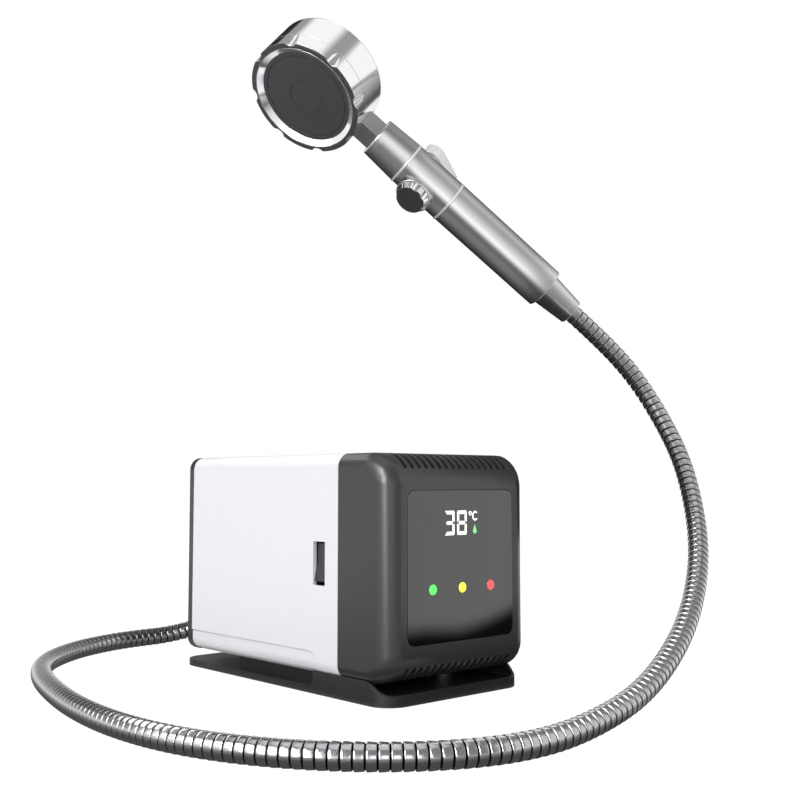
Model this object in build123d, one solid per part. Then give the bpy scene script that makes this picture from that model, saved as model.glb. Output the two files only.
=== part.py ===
from build123d import *
import math
import os

# Portable electric shower: a heater unit on a base tray, a steel hose and a hand shower held in use.
# Millimetres, +Z up, the front of the unit towards -Y. The origin is the centre of the base's underside.

# Clearances between pieces, and the overrun of cutters
seat_gap = 0.1
running_gap = 0.05
moving_gap = 0.3
overrun = 1.0

# Base tray, mat and riser block
base_length = 233.0
base_width = 122.6
base_corner = 16.0
base_edge = 0.7
plate_top = 5.1
rim_wall = 2.2
rim_top = 15.2
rim_length = 72.0
rim_foot_radius = 6.0
lip_top = 7.4
lip_slope_length = 20.0
lip_slope_rise_share = 0.12
mat_thickness = 1.5
mat_proud = 0.5
mat_inset = 9.0
riser_length = 88.0
riser_inset = 5.0
riser_wall = 3.0
riser_boss_radius = 4.5
riser_boss_inset = 9.0

# Case: white sleeve, dark front shell, dark rear cover
case_width = 126.4
case_length = 225.2
case_overhang = 2.8
case_bottom = 13.0
case_top = 154.2
case_corner = 9.0
front_depth = 47.7
edge_top_depth = 22.0
edge_top_reach = 23.0
edge_low_depth = 20.0
edge_low_reach = 19.0
edge_side_depth = 14.2
edge_side_reach = 13.0
edge_bands = 9
edge_halvings = 30
edge_first_setback = 0.15
edge_corner_points = 8
front_wall = 3.0
case_wall = 2.8
seam_groove = 0.5
rear_plate = 6.7
rear_fillet = 1.4
tongue_length = 6.0
tongue_wall = 1.6
strip_depth = 0.7
strip_height = 14.8
strip_front_setback = 23.6
strip_corner = 6.0
strip_groove_width = 0.8
strip_groove_depth = 0.7

# Vent slots over the top and the bottom front edges
vent_count = 16
vent_pitch = 5.97
vent_width = 2.9
vent_drop = 9.8
vent_run = 30.0

# Countersunk screws: thread, head and length
screw_radius = 1.5
screw_head_radius = 2.8
screw_head_height = 1.7
screw_drive_radius = 1.2
screw_drive_depth = 1.0
riser_screw_length = 11.0
rear_screw_length = 21.7
rear_screw_inset = 6.6
rear_boss_radius = 4.2
rear_boss_length = 16.0

# Display panel with its marks and lamps
panel_width = 94.0
panel_height = 94.2
panel_bottom = 36.5
panel_corner = 5.5
panel_thickness = 1.6
panel_groove = 0.35
mark_depth = 1.0
mark_height = 15.3
mark_width = 8.6
mark_stroke = 1.8
mark_level_stroke = 2.2
mark_cut = 0.3
mark_pitch = 11.0
mark_left = -15.55
mark_bottom = 102.5
degree_radius = 1.4
degree_stroke = 0.7
unit_left = 5.9
unit_height = 6.15
unit_width = 5.2
unit_stroke = 1.05
unit_gap = 0.45
unit_drop = 0.4
unit_mouth_share = 0.56
drop_x = 11.5
drop_z = 104.6
drop_radius = 1.65
drop_height = 5.9
lamp_radius = 3.3
lamp_pitch = 25.9
lamp_height = 69.4
lamp_proud = 0.3
lamp_flange = 1.2
lamp_flange_thickness = 1.5
window_margin = 3.0
board_thickness = 1.6
board_margin = 4.0
board_standoff = 4.0
board_post_radius = 3.0
board_post_inset = 7.0

# Rocker switch in the left wall
slot_width = 12.2
slot_height = 28.0
slot_front_setback = 12.9
slot_middle = 83.8
switch_frame = 3.0
switch_depth = 17.0
rocker_height = 24.4
rocker_side_gap = 0.3
rocker_thickness = 6.0
rocker_dish = 1.0
rocker_recess = 2.2
rocker_tilt = 6.0
rocker_pin_radius = 1.25
rocker_pin_length = 1.6
rocker_room = 3.2

# Mains inlet in the rear cover
socket_width = 27.0
socket_height = 20.0
socket_corner = 4.0
socket_flange = 3.5
socket_flange_thickness = 2.5
socket_depth = 20.0
socket_wall = 1.6
socket_floor = 3.0
socket_middle = 116.0
pin_width = 2.0
pin_height = 4.0
pin_length = 14.0
pin_pitch = 7.0
pin_raise = 2.0

# Water fittings: G1/2 thread, cold inlet on the left, hot outlet on the right
thread_radius = 10.48
thread_bore = 7.0
thread_length = 10.0
inlet_x = -38.0
outlet_x = 38.0
fitting_height = 31.0
well_radius = 13.6
well_depth = 11.7
well_wall = 1.8
fitting_flange_radius = 13.0
fitting_flange_thickness = 2.0
fitting_shank_radius = 9.0
fitting_shank_length = 12.0
lock_nut_flats = 24.0
lock_nut_height = 4.0
strainer_depth = 5.0
strainer_wall = 0.8
strainer_holes = 6
strainer_hole_radius = 1.4

# Hose: strip-wound steel, with a hex nut at the unit and a cone nut at the hand shower
hose_radius = 7.0
hose_bore = 4.0
hose_ribs = 200
rib_depth = 0.8
rib_low_share = 0.34
rib_high_share = 0.46
hose_nut_flats = 23.0
hose_nut_height = 14.0
hose_nut_collar = 3.6
hose_nut_collar_radius = 9.0
hose_nut_edge = 0.8
washer_thickness = 2.0
hose_route = [
    (38, 114.4, 31),
    (38, 153, 31),
    (22, 188, 21),
    (-11, 210, 8.5),
    (-52, 217, 7),
    (-91, 203, 7),
    (-126, 179, 7),
    (-159, 142, 7),
    (-181, 95, 7),
    (-197, 41, 7),
    (-209, -15, 7),
    (-214, -71, 7),
    (-209, -125, 7),
    (-190, -175, 7),
    (-158, -217, 7),
    (-117, -244, 7),
    (-72, -251, 7),
    (-26, -247, 10),
    (17, -241, 17),
    (58, -231, 29),
    (98, -218, 45),
    (137, -201, 65),
    (170, -183, 91),
    (196, -162, 122),
    (210, -143, 155),
    (212, -123, 188),
    (202, -108, 218),
    (180.3, -95.9, 243.7),
    (155.2, -84.1, 265.8),
]
run_share = 0.45

# Hand shower: its axis rises from the tail, the spray side faces left and down
tail_place = (155.0, -84.0, 266.0)
handle_rise = 38.5
handle_heading = 154.8
face_direction = (-0.685, -0.109, -0.720)
cone_length = 27.8
cone_small_radius = 10.0
cone_large_radius = 12.6
cone_wall_radius = 10.48
cone_bore = 7.05
cone_mouth = 6.0
grip_length = 99.8
grip_radius = 16.4
grip_end_radius = 16.1
grip_wall = 1.8
grip_floor = 4.0
grip_spigot = 11.0
ring_width = 2.2
ring_edge = 0.35
ring_sink = 0.5
ring_proud = 0.5
valve_length = 42.1
neck_socket_length = 27.9
neck_socket_radius = 15.0
neck_side = 15.8
neck_length = 26.0
neck_bore = 5.0
socket_edge = 1.2
valve_bore = 4.0
cartridge_radius = 12.0
cartridge_length = 80.0
cartridge_cap = 4.0
cartridge_core = 4.0

# Press button on the spray side, lever on the far side
button_along = 22.4
button_radius = 10.8
button_height = 6.9
button_skirt_radius = 13.6
button_skirt_height = 1.6
button_foot_radius = 12.6
button_notch_angles = (17, 331, 278)
button_notch_radius = 3.0
button_notch_out = 1.9
button_cap_step = 0.1
button_cap_thickness = 1.2
button_travel = 3.0
collar_radius = 8.6
button_clearance = 0.4
collar_height = 3.4
collar_wall = 2.0
stem_radius = 3.0
stem_length = 16.0
stem_shoulder = 1.2
spring_radius = 4.6
spring_wire = 0.5
spring_turns = 4
spring_length = 6.2
lever_along = 28.0
lever_hub_radius = 9.4
lever_out = 11.0
lever_tip_out = 6.8
lever_tip_length = 21.0
lever_tip_radius = 3.0
lever_underside = 0.8
lever_edge = 1.0
lever_seat_radius = 9.4
lever_spindle_radius = 3.0
lever_spindle_depth = 9.0

# Spray head
head_radius = 42.8
head_along = 253.5
face_out = 22.0
head_depth = 38.4
head_wall = 2.0
head_back_wall = 2.5
head_back_fillet = 1.6
dial_depth = 12.8
dial_spigot = 5.0
dial_rim_wall = 4.2
dial_slope = 3.8
dial_ledge = 1.6
dial_lip = 0.5
dial_recess = 3.0
bezel_thickness = 0.9
bezel_edge = 0.25
flute_count = 8
flute_radius = 6.2
flute_out = 3.6
flute_taper = 30.5
plate_thickness = 3.0
groove_share = 0.735
groove_width = 0.6
groove_depth = 0.5
disc_share = 0.3
disc_thickness = 1.2
disc_gap = 0.25
disc_sink = 0.1
dial_axle_radius = 4.0
dial_bush_radius = 7.0

# Chassis: bent steel sheet with floor, front wall, shelf and rear leg
sheet = 1.5
chassis_width = 100.0
chassis_front_gap = 8.1
chassis_rear_gap = 40.0
shelf_height = 96.0
leg_width = 34.0
fan_hole_radius = 27.0

# Fan
fan_side = 60.0
fan_depth = 15.0
fan_corner = 4.0
fan_wall = 2.5
fan_middle = 97.0
fan_hub_radius = 12.0
fan_hub_wall = 2.0
fan_blades = 7
fan_blade_thickness = 1.4
fan_blade_width = 8.0
fan_blade_pitch_angle = 38.0
fan_motor_radius = 9.0
fan_motor_depth = 6.0
fan_strut_width = 3.0
fan_strut_depth = 2.5
fan_axle_radius = 1.5

# Heater
heater_length = 100.0
heater_width = 44.0
heater_height = 42.0
heater_corner = 4.0
heater_foot = 6.0
heater_foot_radius = 4.0
heater_foot_inset = 7.0
heater_rear_gap = 50.0
element_radius = 4.0
element_bend = 12.0
element_stub = 8.0
element_height_share = 0.62
cutout_radius = 8.0
cutout_height = 6.0
cutout_tab_width = 6.3
cutout_tab_height = 8.0
cutout_tab_pitch = 9.0
cutout_setback = 30.0
probe_radius = 2.5
probe_length = 14.0
probe_head = 3.0
probe_setback = 12.0

# Flow sensor and pump behind the cold inlet
sensor_length = 34.0
sensor_side = 24.0
sensor_bore = 9.0
turbine_radius = 8.4
turbine_hub_radius = 2.4
turbine_blades = 6
turbine_blade_thickness = 0.9
turbine_length = 12.0
turbine_axle_radius = 1.0
turbine_axle_stub = 2.0
spider_thickness = 2.0
spider_width = 2.4
pump_radius = 20.0
pump_length = 24.0
pump_wall = 3.0
pump_mouth = 7.0
impeller_radius = 16.0
impeller_thickness = 4.0
impeller_blades = 6
impeller_blade_height = 6.0
impeller_blade_thickness = 1.6
impeller_hub_radius = 4.0
motor_shaft_radius = 2.0
motor_shaft_length = 16.0
motor_radius = 17.0
motor_length = 46.0
motor_shaft_depth = 8.0
cradle_width = 22.0

# Pipes between the pump, the heater and the hot outlet
pipe_radius = 5.0
pipe_bore = 3.6
link_rise = 12.0
link_bend = 9.0
link_setback = 15.0

# Control board on the shelf
control_length = 88.0
control_width = 92.0
control_post_height = 6.0
control_post_radius = 2.8
control_post_inset = 5.0
triac_width = 10.0
triac_height = 14.0
triac_thickness = 4.5
sink_width = 46.0
sink_height = 24.0
sink_floor = 3.0
sink_fins = 8
sink_fin_thickness = 1.4
sink_length = 30.0
relay_length = 19.0
relay_width = 15.0
relay_height = 15.0
chip_side = 10.0
chip_height = 2.0

# Places that follow from the sizes above
base_front = -base_length / 2
case_front = base_front - case_overhang
case_rear = case_front + case_length
seam_y = case_front + front_depth
sleeve_rear = case_rear - rear_plate
case_height = case_top - case_bottom
case_middle = (case_top + case_bottom) / 2
rim_rear = base_front + rim_length
riser_front = rim_rear + riser_wall
inside_floor = case_bottom + case_wall
inside_half = case_width / 2 - case_wall
panel_middle = panel_bottom + panel_height / 2
slot_y = seam_y + slot_front_setback + slot_width / 2
wall_inside = -inside_half
rocker_x = -case_width / 2 + rocker_recess + rocker_thickness
well_floor_y = case_rear - well_depth
shelf_z = inside_floor + shelf_height
bulkhead_y = seam_y + chassis_front_gap
bulkhead_top = fan_middle + fan_side / 2
chassis_rear = sleeve_rear - chassis_rear_gap
fan_front = bulkhead_y - fan_depth
sensor_rear = well_floor_y - fitting_shank_length
pump_rear = sensor_rear - sensor_length
pump_front = pump_rear - pump_length
heater_x = inside_half - heater_width / 2 - heater_corner
heater_rear = sleeve_rear - heater_rear_gap
heater_bottom = inside_floor + sheet + heater_foot
heater_top = heater_bottom + heater_height
ring_low = cone_length + grip_length
ring_high = ring_low + valve_length
socket_top = ring_high + neck_socket_length
button_z = ring_low + button_along
lever_z = ring_low + lever_along
face_back = face_out - head_depth
dial_back = face_out - dial_depth
plate_face = face_out - dial_recess


def facing_front(y, x=0.0, z=0.0):
    """A plane across the unit: local x is +X, local y is +Z, and its normal points to the front."""
    return Plane(origin=(x, y, z), x_dir=(1, 0, 0), z_dir=(0, -1, 0))


def facing_right(x, y=0.0, z=0.0):
    """A plane along the unit: local x is +Y, local y is +Z, and its normal points to +X."""
    return Plane(origin=(x, y, z), x_dir=(0, 1, 0), z_dir=(1, 0, 0))


def block(x0, x1, y0, y1, z0, z1):
    """A box between two corners."""
    middle = Pos((x0 + x1) / 2, (y0 + y1) / 2, (z0 + z1) / 2)
    return middle * Box(x1 - x0, y1 - y0, z1 - z0)


def rod_y(x, y0, y1, z, radius):
    """A round bar along Y from y0 to y1."""
    return extrude(facing_front(y1, x, z) * Circle(radius), y1 - y0)


def rod_z(x, y, z0, z1, radius):
    """A round bar along Z from z0 to z1."""
    return extrude(Pos(x, y, z0) * Circle(radius), z1 - z0)


def section(y, inset=0.0):
    """The case's outline at a place along its length, drawn in by an inset."""
    outline = RectangleRounded(case_width - 2 * inset, case_height - 2 * inset, case_corner - inset)
    return facing_front(y, 0.0, case_middle) * outline


def case_slab(y_rear, y_front, inset=0.0):
    """A straight length of the case's outline."""
    return extrude(section(y_rear, inset), y_rear - y_front)


def side_prism(points, x0, x1):
    """A flat shape given as (y, z) points, carried from x0 to x1."""
    outline = make_face(Polyline(*points, close=True))
    return extrude(facing_right(x0) * outline, x1 - x0)


def screw(length):
    """A countersunk screw that points down from its head at the origin."""
    shank = rod_z(0, 0, -length, 0, screw_radius)
    cone = Pos(0, 0, -screw_head_height / 2) * Cone(screw_radius, screw_head_radius, screw_head_height)
    drive = rod_z(0, 0, -screw_drive_depth, overrun, screw_drive_radius)
    return shank + cone - drive


def screw_hole(length):
    """The clearance for a countersunk screw that points down from the origin."""
    radius = screw_radius + seat_gap
    head = screw_head_radius + seat_gap
    shank = rod_z(0, 0, -length, overrun, radius)
    cone = Pos(0, 0, -screw_head_height / 2) * Cone(radius, head, screw_head_height)
    return shank + cone


def hexagon(flats, height):
    """A hexagonal bar that stands on the origin."""
    return extrude(RegularPolygon(flats / 2, 6, major_radius=False), height)


# Base

def riser_corners():
    """The four screw places in the riser block."""
    half = base_width / 2 - riser_inset - riser_boss_inset
    near = riser_front + riser_boss_inset
    far = riser_front + riser_length - riser_boss_inset
    return [(x, y) for x in (-half, half) for y in (near, far)]


def lip_form(half):
    """What is cut off the side walls at the front: a smooth S from the low lip up to the rim."""
    foot = (base_front + rim_wall, lip_top)
    crest = (base_front + lip_slope_length, rim_top + seat_gap)
    curve = Spline(foot, crest, tangents=[(1, 0), (1, lip_slope_rise_share)])
    above = rim_top + overrun
    rest = Polyline(crest, (crest[0], above), (base_front - overrun, above), (base_front - overrun, lip_top), foot)
    return Pos(-half, 0, 0) * extrude(Plane.YZ * make_face([curve, *rest.edges()]), 2 * half)


def base_tray():
    """A plate with raised side walls at the front that slope down to a low lip."""
    outline = RectangleRounded(base_width, base_length, base_corner)
    tray = extrude(Pos(0, 0, mat_proud) * outline, rim_top - mat_proud)
    inner = RectangleRounded(base_width - 2 * rim_wall, base_length - 2 * rim_wall, base_corner - rim_wall)
    tray -= extrude(Pos(0, 0, plate_top) * inner, rim_top)
    half = base_width / 2 + overrun
    behind = block(-half, half, rim_rear, -base_front + overrun, plate_top, rim_top + overrun)
    foot = behind.edges().filter_by(Axis.X).group_by(Axis.Z)[0].sort_by(Axis.Y)[0]
    tray -= fillet(foot, rim_foot_radius)
    tray -= lip_form(half)
    tray -= case_slab(rim_rear + overrun, case_front, -seat_gap)
    mat_room = RectangleRounded(base_width - 2 * mat_inset, base_length - 2 * mat_inset, base_corner / 2)
    tray -= extrude(mat_room, mat_thickness)
    for x, y in riser_corners():
        tray -= Pos(x, y, mat_thickness) * Rot(180, 0, 0) * screw_hole(riser_screw_length)
    return tray


def base_mat():
    """A rubber mat let into the underside, proud of it so that the unit stands on the mat."""
    width = base_width - 2 * mat_inset - 2 * seat_gap
    length = base_length - 2 * mat_inset - 2 * seat_gap
    return extrude(RectangleRounded(width, length, base_corner / 2), mat_thickness)


def riser_block():
    """The black block that carries the case on the tray."""
    half = base_width / 2 - riser_inset
    rear = riser_front + riser_length
    shell = block(-half, half, riser_front, rear, plate_top, case_bottom)
    shell -= block(-half + riser_wall, half - riser_wall, riser_front + riser_wall, rear - riser_wall,
                   plate_top - overrun, case_bottom - riser_wall)
    for x, y in riser_corners():
        shell += rod_z(x, y, plate_top, case_bottom - riser_wall, riser_boss_radius)
        shell -= Pos(x, y, mat_thickness) * Rot(180, 0, 0) * screw_hole(riser_screw_length)
    return shell


def riser_screws():
    """Four screws up through the tray into the riser and the case."""
    one = Rot(180, 0, 0) * screw(riser_screw_length - 2 * seat_gap)
    return [Pos(x, y, mat_thickness) * one for x, y in riser_corners()]


# Case

def rear_screw_places():
    """The four screw places in the rear cover, beside the case's corners."""
    half = case_width / 2 - rear_screw_inset
    low = case_bottom + rear_screw_inset
    high = case_top - rear_screw_inset
    return [(x, z) for x in (-half, half) for z in (low, high)]


def strip_band(front, depth):
    """What lies within a depth of the sleeve's two sides, from a front place to the sleeve's rear."""
    band = case_slab(sleeve_rear + overrun, front - overrun, -overrun)
    band -= case_slab(sleeve_rear + 2 * overrun, front - 2 * overrun, depth)
    middle = case_width / 2 - case_corner
    return band - block(-middle, middle, front - 2 * overrun, sleeve_rear + 2 * overrun,
                        case_bottom - case_corner, case_top + case_corner)


def white_sleeve():
    """A tube of the case's outline, with a recessed strip, the switch slot and corner bosses."""
    sleeve = case_slab(sleeve_rear, seam_y)
    sleeve -= case_slab(sleeve_rear + overrun, seam_y - overrun, case_wall)
    bosses = []
    boss_rear = sleeve_rear - tongue_length - overrun
    for x, z in rear_screw_places():
        bosses.append(rod_y(x, boss_rear - rear_boss_length, boss_rear, z, rear_boss_radius))
    sleeve += bosses
    half = case_width / 2
    strip_front = seam_y + strip_front_setback
    strip_top = case_bottom + strip_height
    region = block(-half - overrun, half + overrun, strip_front, sleeve_rear + overrun,
                   case_bottom - case_corner, strip_top)
    corner = region.edges().filter_by(Axis.X).group_by(Axis.Z)[-1].sort_by(Axis.Y)[0]
    region = fillet(corner, strip_corner)
    sleeve -= region & strip_band(strip_front, strip_depth)
    line = region - Pos(0, strip_groove_width, -strip_groove_width) * region
    sleeve -= line & strip_band(strip_front, strip_depth + strip_groove_depth)
    sleeve -= block(-half - overrun, wall_inside + overrun, slot_y - slot_width / 2, slot_y + slot_width / 2,
                    slot_middle - slot_height / 2, slot_middle + slot_height / 2)
    for x, y in riser_corners():
        sleeve -= Pos(x, y, mat_thickness) * Rot(180, 0, 0) * screw_hole(riser_screw_length)
    for x, z in rear_screw_places():
        sleeve -= Location(facing_front(case_rear, x, z)) * Rot(180, 0, 0) * screw_hole(rear_screw_length)
    return sleeve


def corner_share(turn, rolled, narrow, wide):
    """Where the side's rounding is, as a share of the arc's radius, at a turn and a way round the arc."""
    return 1 - (narrow + (wide - narrow) * rolled) * (1 - math.sin(turn))


def way_round(left, turn, narrow, wide):
    """How far round the arc, from 0 at the long edge to 1 at the front, a point of the rounding is."""
    low, high = 0.0, 1.0
    for halving in range(edge_halvings):
        rolled = (low + high) / 2
        if corner_share(turn, rolled, narrow, wide) * math.sin(rolled * math.pi / 2) < left:
            low = rolled
        else:
            high = rolled
    return high


def corner_rise(setback, depth, reach, inset):
    """One front corner at a setback: points from the flat side, each as drawn in and risen above the flat.

    The front's upper or lower edge is an arc of that depth and reach. The side's rounding follows it round:
    it is as narrow as the case's corner along the case and widens down the front."""
    depth, reach, corner = depth - inset, reach - inset, case_corner - inset
    side_depth, side_reach = edge_side_depth - inset, edge_side_reach - inset
    narrow, wide = corner / reach, side_depth / depth
    left = max(0.0, 1 - setback / depth)
    first = math.asin(max(0.0, 1 - setback / side_depth))
    points = []
    for index in range(edge_corner_points):
        turn = first + (math.pi / 2 - first) * (index / (edge_corner_points - 1)) ** 2
        rolled = way_round(left, turn, narrow, wide)
        drawn = (corner + (side_reach - corner) * rolled) * (1 - math.cos(turn))
        points.append((drawn, reach * corner_share(turn, rolled, narrow, wide) * math.cos(rolled * math.pi / 2)))
    return points


def front_outline(setback, inset):
    """The front shell's outline at a setback from its front face, drawn in by an inset."""
    half = case_width / 2 - inset
    curves = []
    for side, level in ((1, 1), (-1, 1), (-1, -1), (1, -1)):
        depth, reach = (edge_top_depth, edge_top_reach) if level > 0 else (edge_low_depth, edge_low_reach)
        flat = case_height / 2 - reach
        rises = corner_rise(setback, depth, reach, inset)
        points = [(side * (half - drawn), level * (flat + rise)) for drawn, rise in rises]
        tangents = [(0, level), (-side, 0)]
        if side != level:
            points.reverse()
            tangents = [(side, 0), (0, -level)]
        curves.append(Spline(*points, tangents=tangents))
    lines = [Line(curves[index - 1] @ 1, curves[index] @ 0) for index in range(4)]
    return make_face([*curves, *lines])


def front_form(inset, front_inset, rear_y):
    """The front shell's form: outlines whose edges round off towards the front, joined in bands."""
    front_y = case_front + front_inset
    depth = edge_top_depth - inset
    setbacks = [depth * (1 - math.cos(math.pi / 2 * band / edge_bands)) for band in range(edge_bands + 1)]
    setbacks.append(rear_y - front_y)
    outlines = []
    for setback in reversed(setbacks):
        outline = front_outline(max(edge_first_setback, setback), inset)
        outlines.append(facing_front(front_y + setback, 0.0, case_middle) * outline)
    return loft(outlines, ruled=True)


def tongue(y_seam, y_end):
    """A thin ring that reaches into the sleeve from y_seam to y_end."""
    inset = case_wall + seat_gap
    low, high = min(y_seam, y_end), max(y_seam, y_end)
    ring = case_slab(high, low, inset)
    return ring - case_slab(high + overrun, low - overrun, inset + tongue_wall)


def vent_places():
    """The middles of the vent slots across the front."""
    first = -(vent_count - 1) / 2
    return [(first + index) * vent_pitch for index in range(vent_count)]


def lamp_places():
    """The three lamps' places across the panel."""
    return [-lamp_pitch, 0.0, lamp_pitch]


def display_window(room):
    """The opening behind the digits, as low x, high x, low z and high z."""
    low_x = mark_left - window_margin - room
    high_x = -mark_left + window_margin + room
    low_z = mark_bottom - window_margin - room
    high_z = mark_bottom + mark_height + window_margin + room
    return low_x, high_x, low_z, high_z


def panel_outline(grow):
    """The display panel's rounded outline."""
    return RectangleRounded(panel_width + 2 * grow, panel_height + 2 * grow, panel_corner + grow)


def board_posts():
    """The four posts that carry the display board."""
    half = panel_width / 2 - board_post_inset
    low = panel_bottom + board_post_inset
    high = panel_bottom + panel_height - board_post_inset
    return [(x, z) for x in (-half, half) for z in (low, high)]


def front_shell():
    """The dark front: a deep shell with vent slots, a panel recess and posts for the board."""
    shell = front_form(0.0, 0.0, seam_y)
    shell -= front_form(front_wall, front_wall, seam_y + overrun)
    half = case_width
    ring = case_slab(seam_y + overrun, seam_y - seam_groove, -overrun)
    shell -= ring - case_slab(seam_y + 2 * overrun, seam_y - 2 * seam_groove, seam_groove)
    shell += tongue(seam_y - tongue_wall, seam_y + tongue_length)
    for x in vent_places():
        left, right = x - vent_width / 2, x + vent_width / 2
        rear = case_front + vent_run
        shell -= block(left, right, case_front - overrun, rear, case_top - vent_drop, case_top + overrun)
        shell -= block(left, right, case_front - overrun, rear, case_bottom - overrun, case_bottom + vent_drop)
    shell -= extrude(facing_front(case_front + panel_thickness, 0, panel_middle) * panel_outline(panel_groove), half)
    low_x, high_x, low_z, high_z = display_window(0.0)
    shell -= block(low_x, high_x, case_front, case_front + 2 * front_wall, low_z, high_z)
    for x in lamp_places():
        shell -= rod_y(x, case_front, case_front + 2 * front_wall, lamp_height, lamp_radius + lamp_flange + seat_gap)
    inner = case_front + front_wall
    for x, z in board_posts():
        shell += rod_y(x, inner, inner + board_standoff, z, board_post_radius)
    return shell


def stroke(points, side=1, level=1):
    """A stroke's outline around its digit's middle, turned over sideways or in height by -1."""
    return make_face(Polyline(*[(side * x, level * z) for x, z in points], close=True))


def digit_strokes(left, lit):
    """The lit strokes of one seven-stroke digit, cut at a slant where they meet."""
    half, rise = mark_width / 2, mark_height / 2
    inner, thick = half - mark_stroke, mark_level_stroke
    level = [(-half + mark_cut, rise), (half - mark_cut, rise),
             (inner - mark_cut, rise - thick), (-inner + mark_cut, rise - thick)]
    waist = (half + inner) / 2 - mark_cut
    middle = [(-waist, 0), (-inner + mark_cut, thick / 2), (inner - mark_cut, thick / 2),
              (waist, 0), (inner - mark_cut, -thick / 2), (-inner + mark_cut, -thick / 2)]
    upright = [(half, rise - mark_cut), (half, 2 * mark_cut),
               (inner, thick / 2 + mark_cut), (inner, rise - thick - mark_cut)]
    strokes = {
        "top": stroke(level),
        "middle": stroke(middle),
        "bottom": stroke(level, 1, -1),
        "upper left": stroke(upright, -1, 1),
        "lower left": stroke(upright, -1, -1),
        "upper right": stroke(upright),
        "lower right": stroke(upright, 1, -1),
    }
    return [Pos(left + half, mark_bottom + rise) * strokes[name] for name in lit]


def readout_outlines():
    """Two digits that show a bath temperature."""
    three = ["top", "middle", "bottom", "upper right", "lower right"]
    eight = three + ["upper left", "lower left"]
    return digit_strokes(mark_left, three) + digit_strokes(mark_left + mark_pitch, eight)


def unit_outlines():
    """The degree ring and an open ring beside the digits."""
    top = mark_bottom + mark_height - unit_drop
    degree = Circle(degree_radius) - Circle(degree_radius - degree_stroke)
    ring_x = unit_left + degree_radius
    curve_x = ring_x + degree_radius + unit_gap + unit_width / 2
    curve_z = top - unit_height / 2
    outer = Ellipse(unit_width / 2, unit_height / 2)
    inner = Ellipse(unit_width / 2 - unit_stroke, unit_height / 2 - unit_stroke)
    gap = Pos(unit_width / 2, 0) * Rectangle(unit_width, unit_mouth_share * unit_height)
    return [Pos(ring_x, top - degree_radius) * degree, Pos(curve_x, curve_z) * (outer - inner - gap)]


def drop_outline():
    """A water drop: a round foot with two straight sides up to a point."""
    reach = drop_height - drop_radius
    rise = drop_radius * drop_radius / reach
    half = math.sqrt(drop_radius * drop_radius - rise * rise)
    peak = make_face(Polyline((-half, rise), (half, rise), (0, reach), close=True))
    return Pos(drop_x, drop_z) * (Circle(drop_radius) + peak)


def inlay(outline, depth=mark_depth):
    """A solid of an outline, flush with the panel's face."""
    return extrude(facing_front(case_front + depth) * outline, depth)


def display_panel():
    """The glossy panel, with seats for the marks and the drop, and holes for the lamps."""
    panel = inlay(Pos(0, panel_middle) * panel_outline(0.0), panel_thickness)
    for outline in [*readout_outlines(), *unit_outlines(), drop_outline()]:
        panel -= inlay(outline)
    for x in lamp_places():
        panel -= rod_y(x, case_front - overrun, case_front + 2 * panel_thickness, lamp_height, lamp_radius)
    return panel


def lamp(x):
    """A domed lens with a flange behind the panel."""
    flange_front = case_front + panel_thickness
    lens = rod_y(x, case_front - lamp_proud, flange_front, lamp_height, lamp_radius - running_gap)
    rim = lens.edges().group_by(Axis.Y)[0]
    lens = fillet(rim, lamp_proud)
    back = flange_front + lamp_flange_thickness
    return lens + rod_y(x, flange_front, back, lamp_height, lamp_radius + lamp_flange)


def display_board():
    """The circuit board behind the panel, with the digit module and the lamp bodies on it."""
    front = case_front + front_wall + board_standoff
    half = panel_width / 2 - board_margin
    low, high = panel_bottom + board_margin, panel_bottom + panel_height - board_margin
    board = block(-half, half, front, front + board_thickness, low, high)
    low_x, high_x, low_z, high_z = display_window(-seat_gap)
    board += block(low_x, high_x, case_front + panel_thickness, front, low_z, high_z)
    for x in lamp_places():
        board += rod_y(x, case_front + panel_thickness + lamp_flange_thickness, front, lamp_height, lamp_radius)
    return board


def rear_cover():
    """The dark rear cover with its wells for the water fittings and the mains inlet's opening."""
    plate = case_slab(case_rear, sleeve_rear)
    plate = fillet(plate.faces().sort_by(Axis.Y)[-1].edges(), rear_fillet)
    plate += tongue(sleeve_rear + tongue_wall, sleeve_rear - tongue_length)
    for x in (inlet_x, outlet_x):
        plate += rod_y(x, well_floor_y - well_wall, case_rear - rear_fillet, fitting_height, well_radius + well_wall)
        plate -= rod_y(x, well_floor_y, case_rear + overrun, fitting_height, well_radius)
        plate -= rod_y(x, well_floor_y - 2 * well_wall, well_floor_y, fitting_height,
                       fitting_shank_radius + seat_gap)
    opening = RectangleRounded(socket_width + 2 * seat_gap, socket_height + 2 * seat_gap, socket_corner)
    plate -= extrude(facing_front(case_rear + overrun, 0, socket_middle) * opening, 2 * rear_plate + overrun)
    for x, z in rear_screw_places():
        plate -= Location(facing_front(case_rear, x, z)) * Rot(180, 0, 0) * screw_hole(rear_screw_length)
    return plate - outside_sleeve()


def outside_sleeve():
    """What lies outside the sleeve's bore, so that the wells stay inside it."""
    low = well_floor_y - 2 * well_wall
    around = case_slab(sleeve_rear, low, -case_corner)
    return around - case_slab(sleeve_rear + overrun, low - overrun, case_wall + seat_gap)


def rear_screws():
    """Four screws through the rear cover into the sleeve's bosses."""
    one = Rot(180, 0, 0) * screw(rear_screw_length - 2 * seat_gap)
    return [Location(facing_front(case_rear, x, z)) * one for x, z in rear_screw_places()]


# Switch

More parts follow.
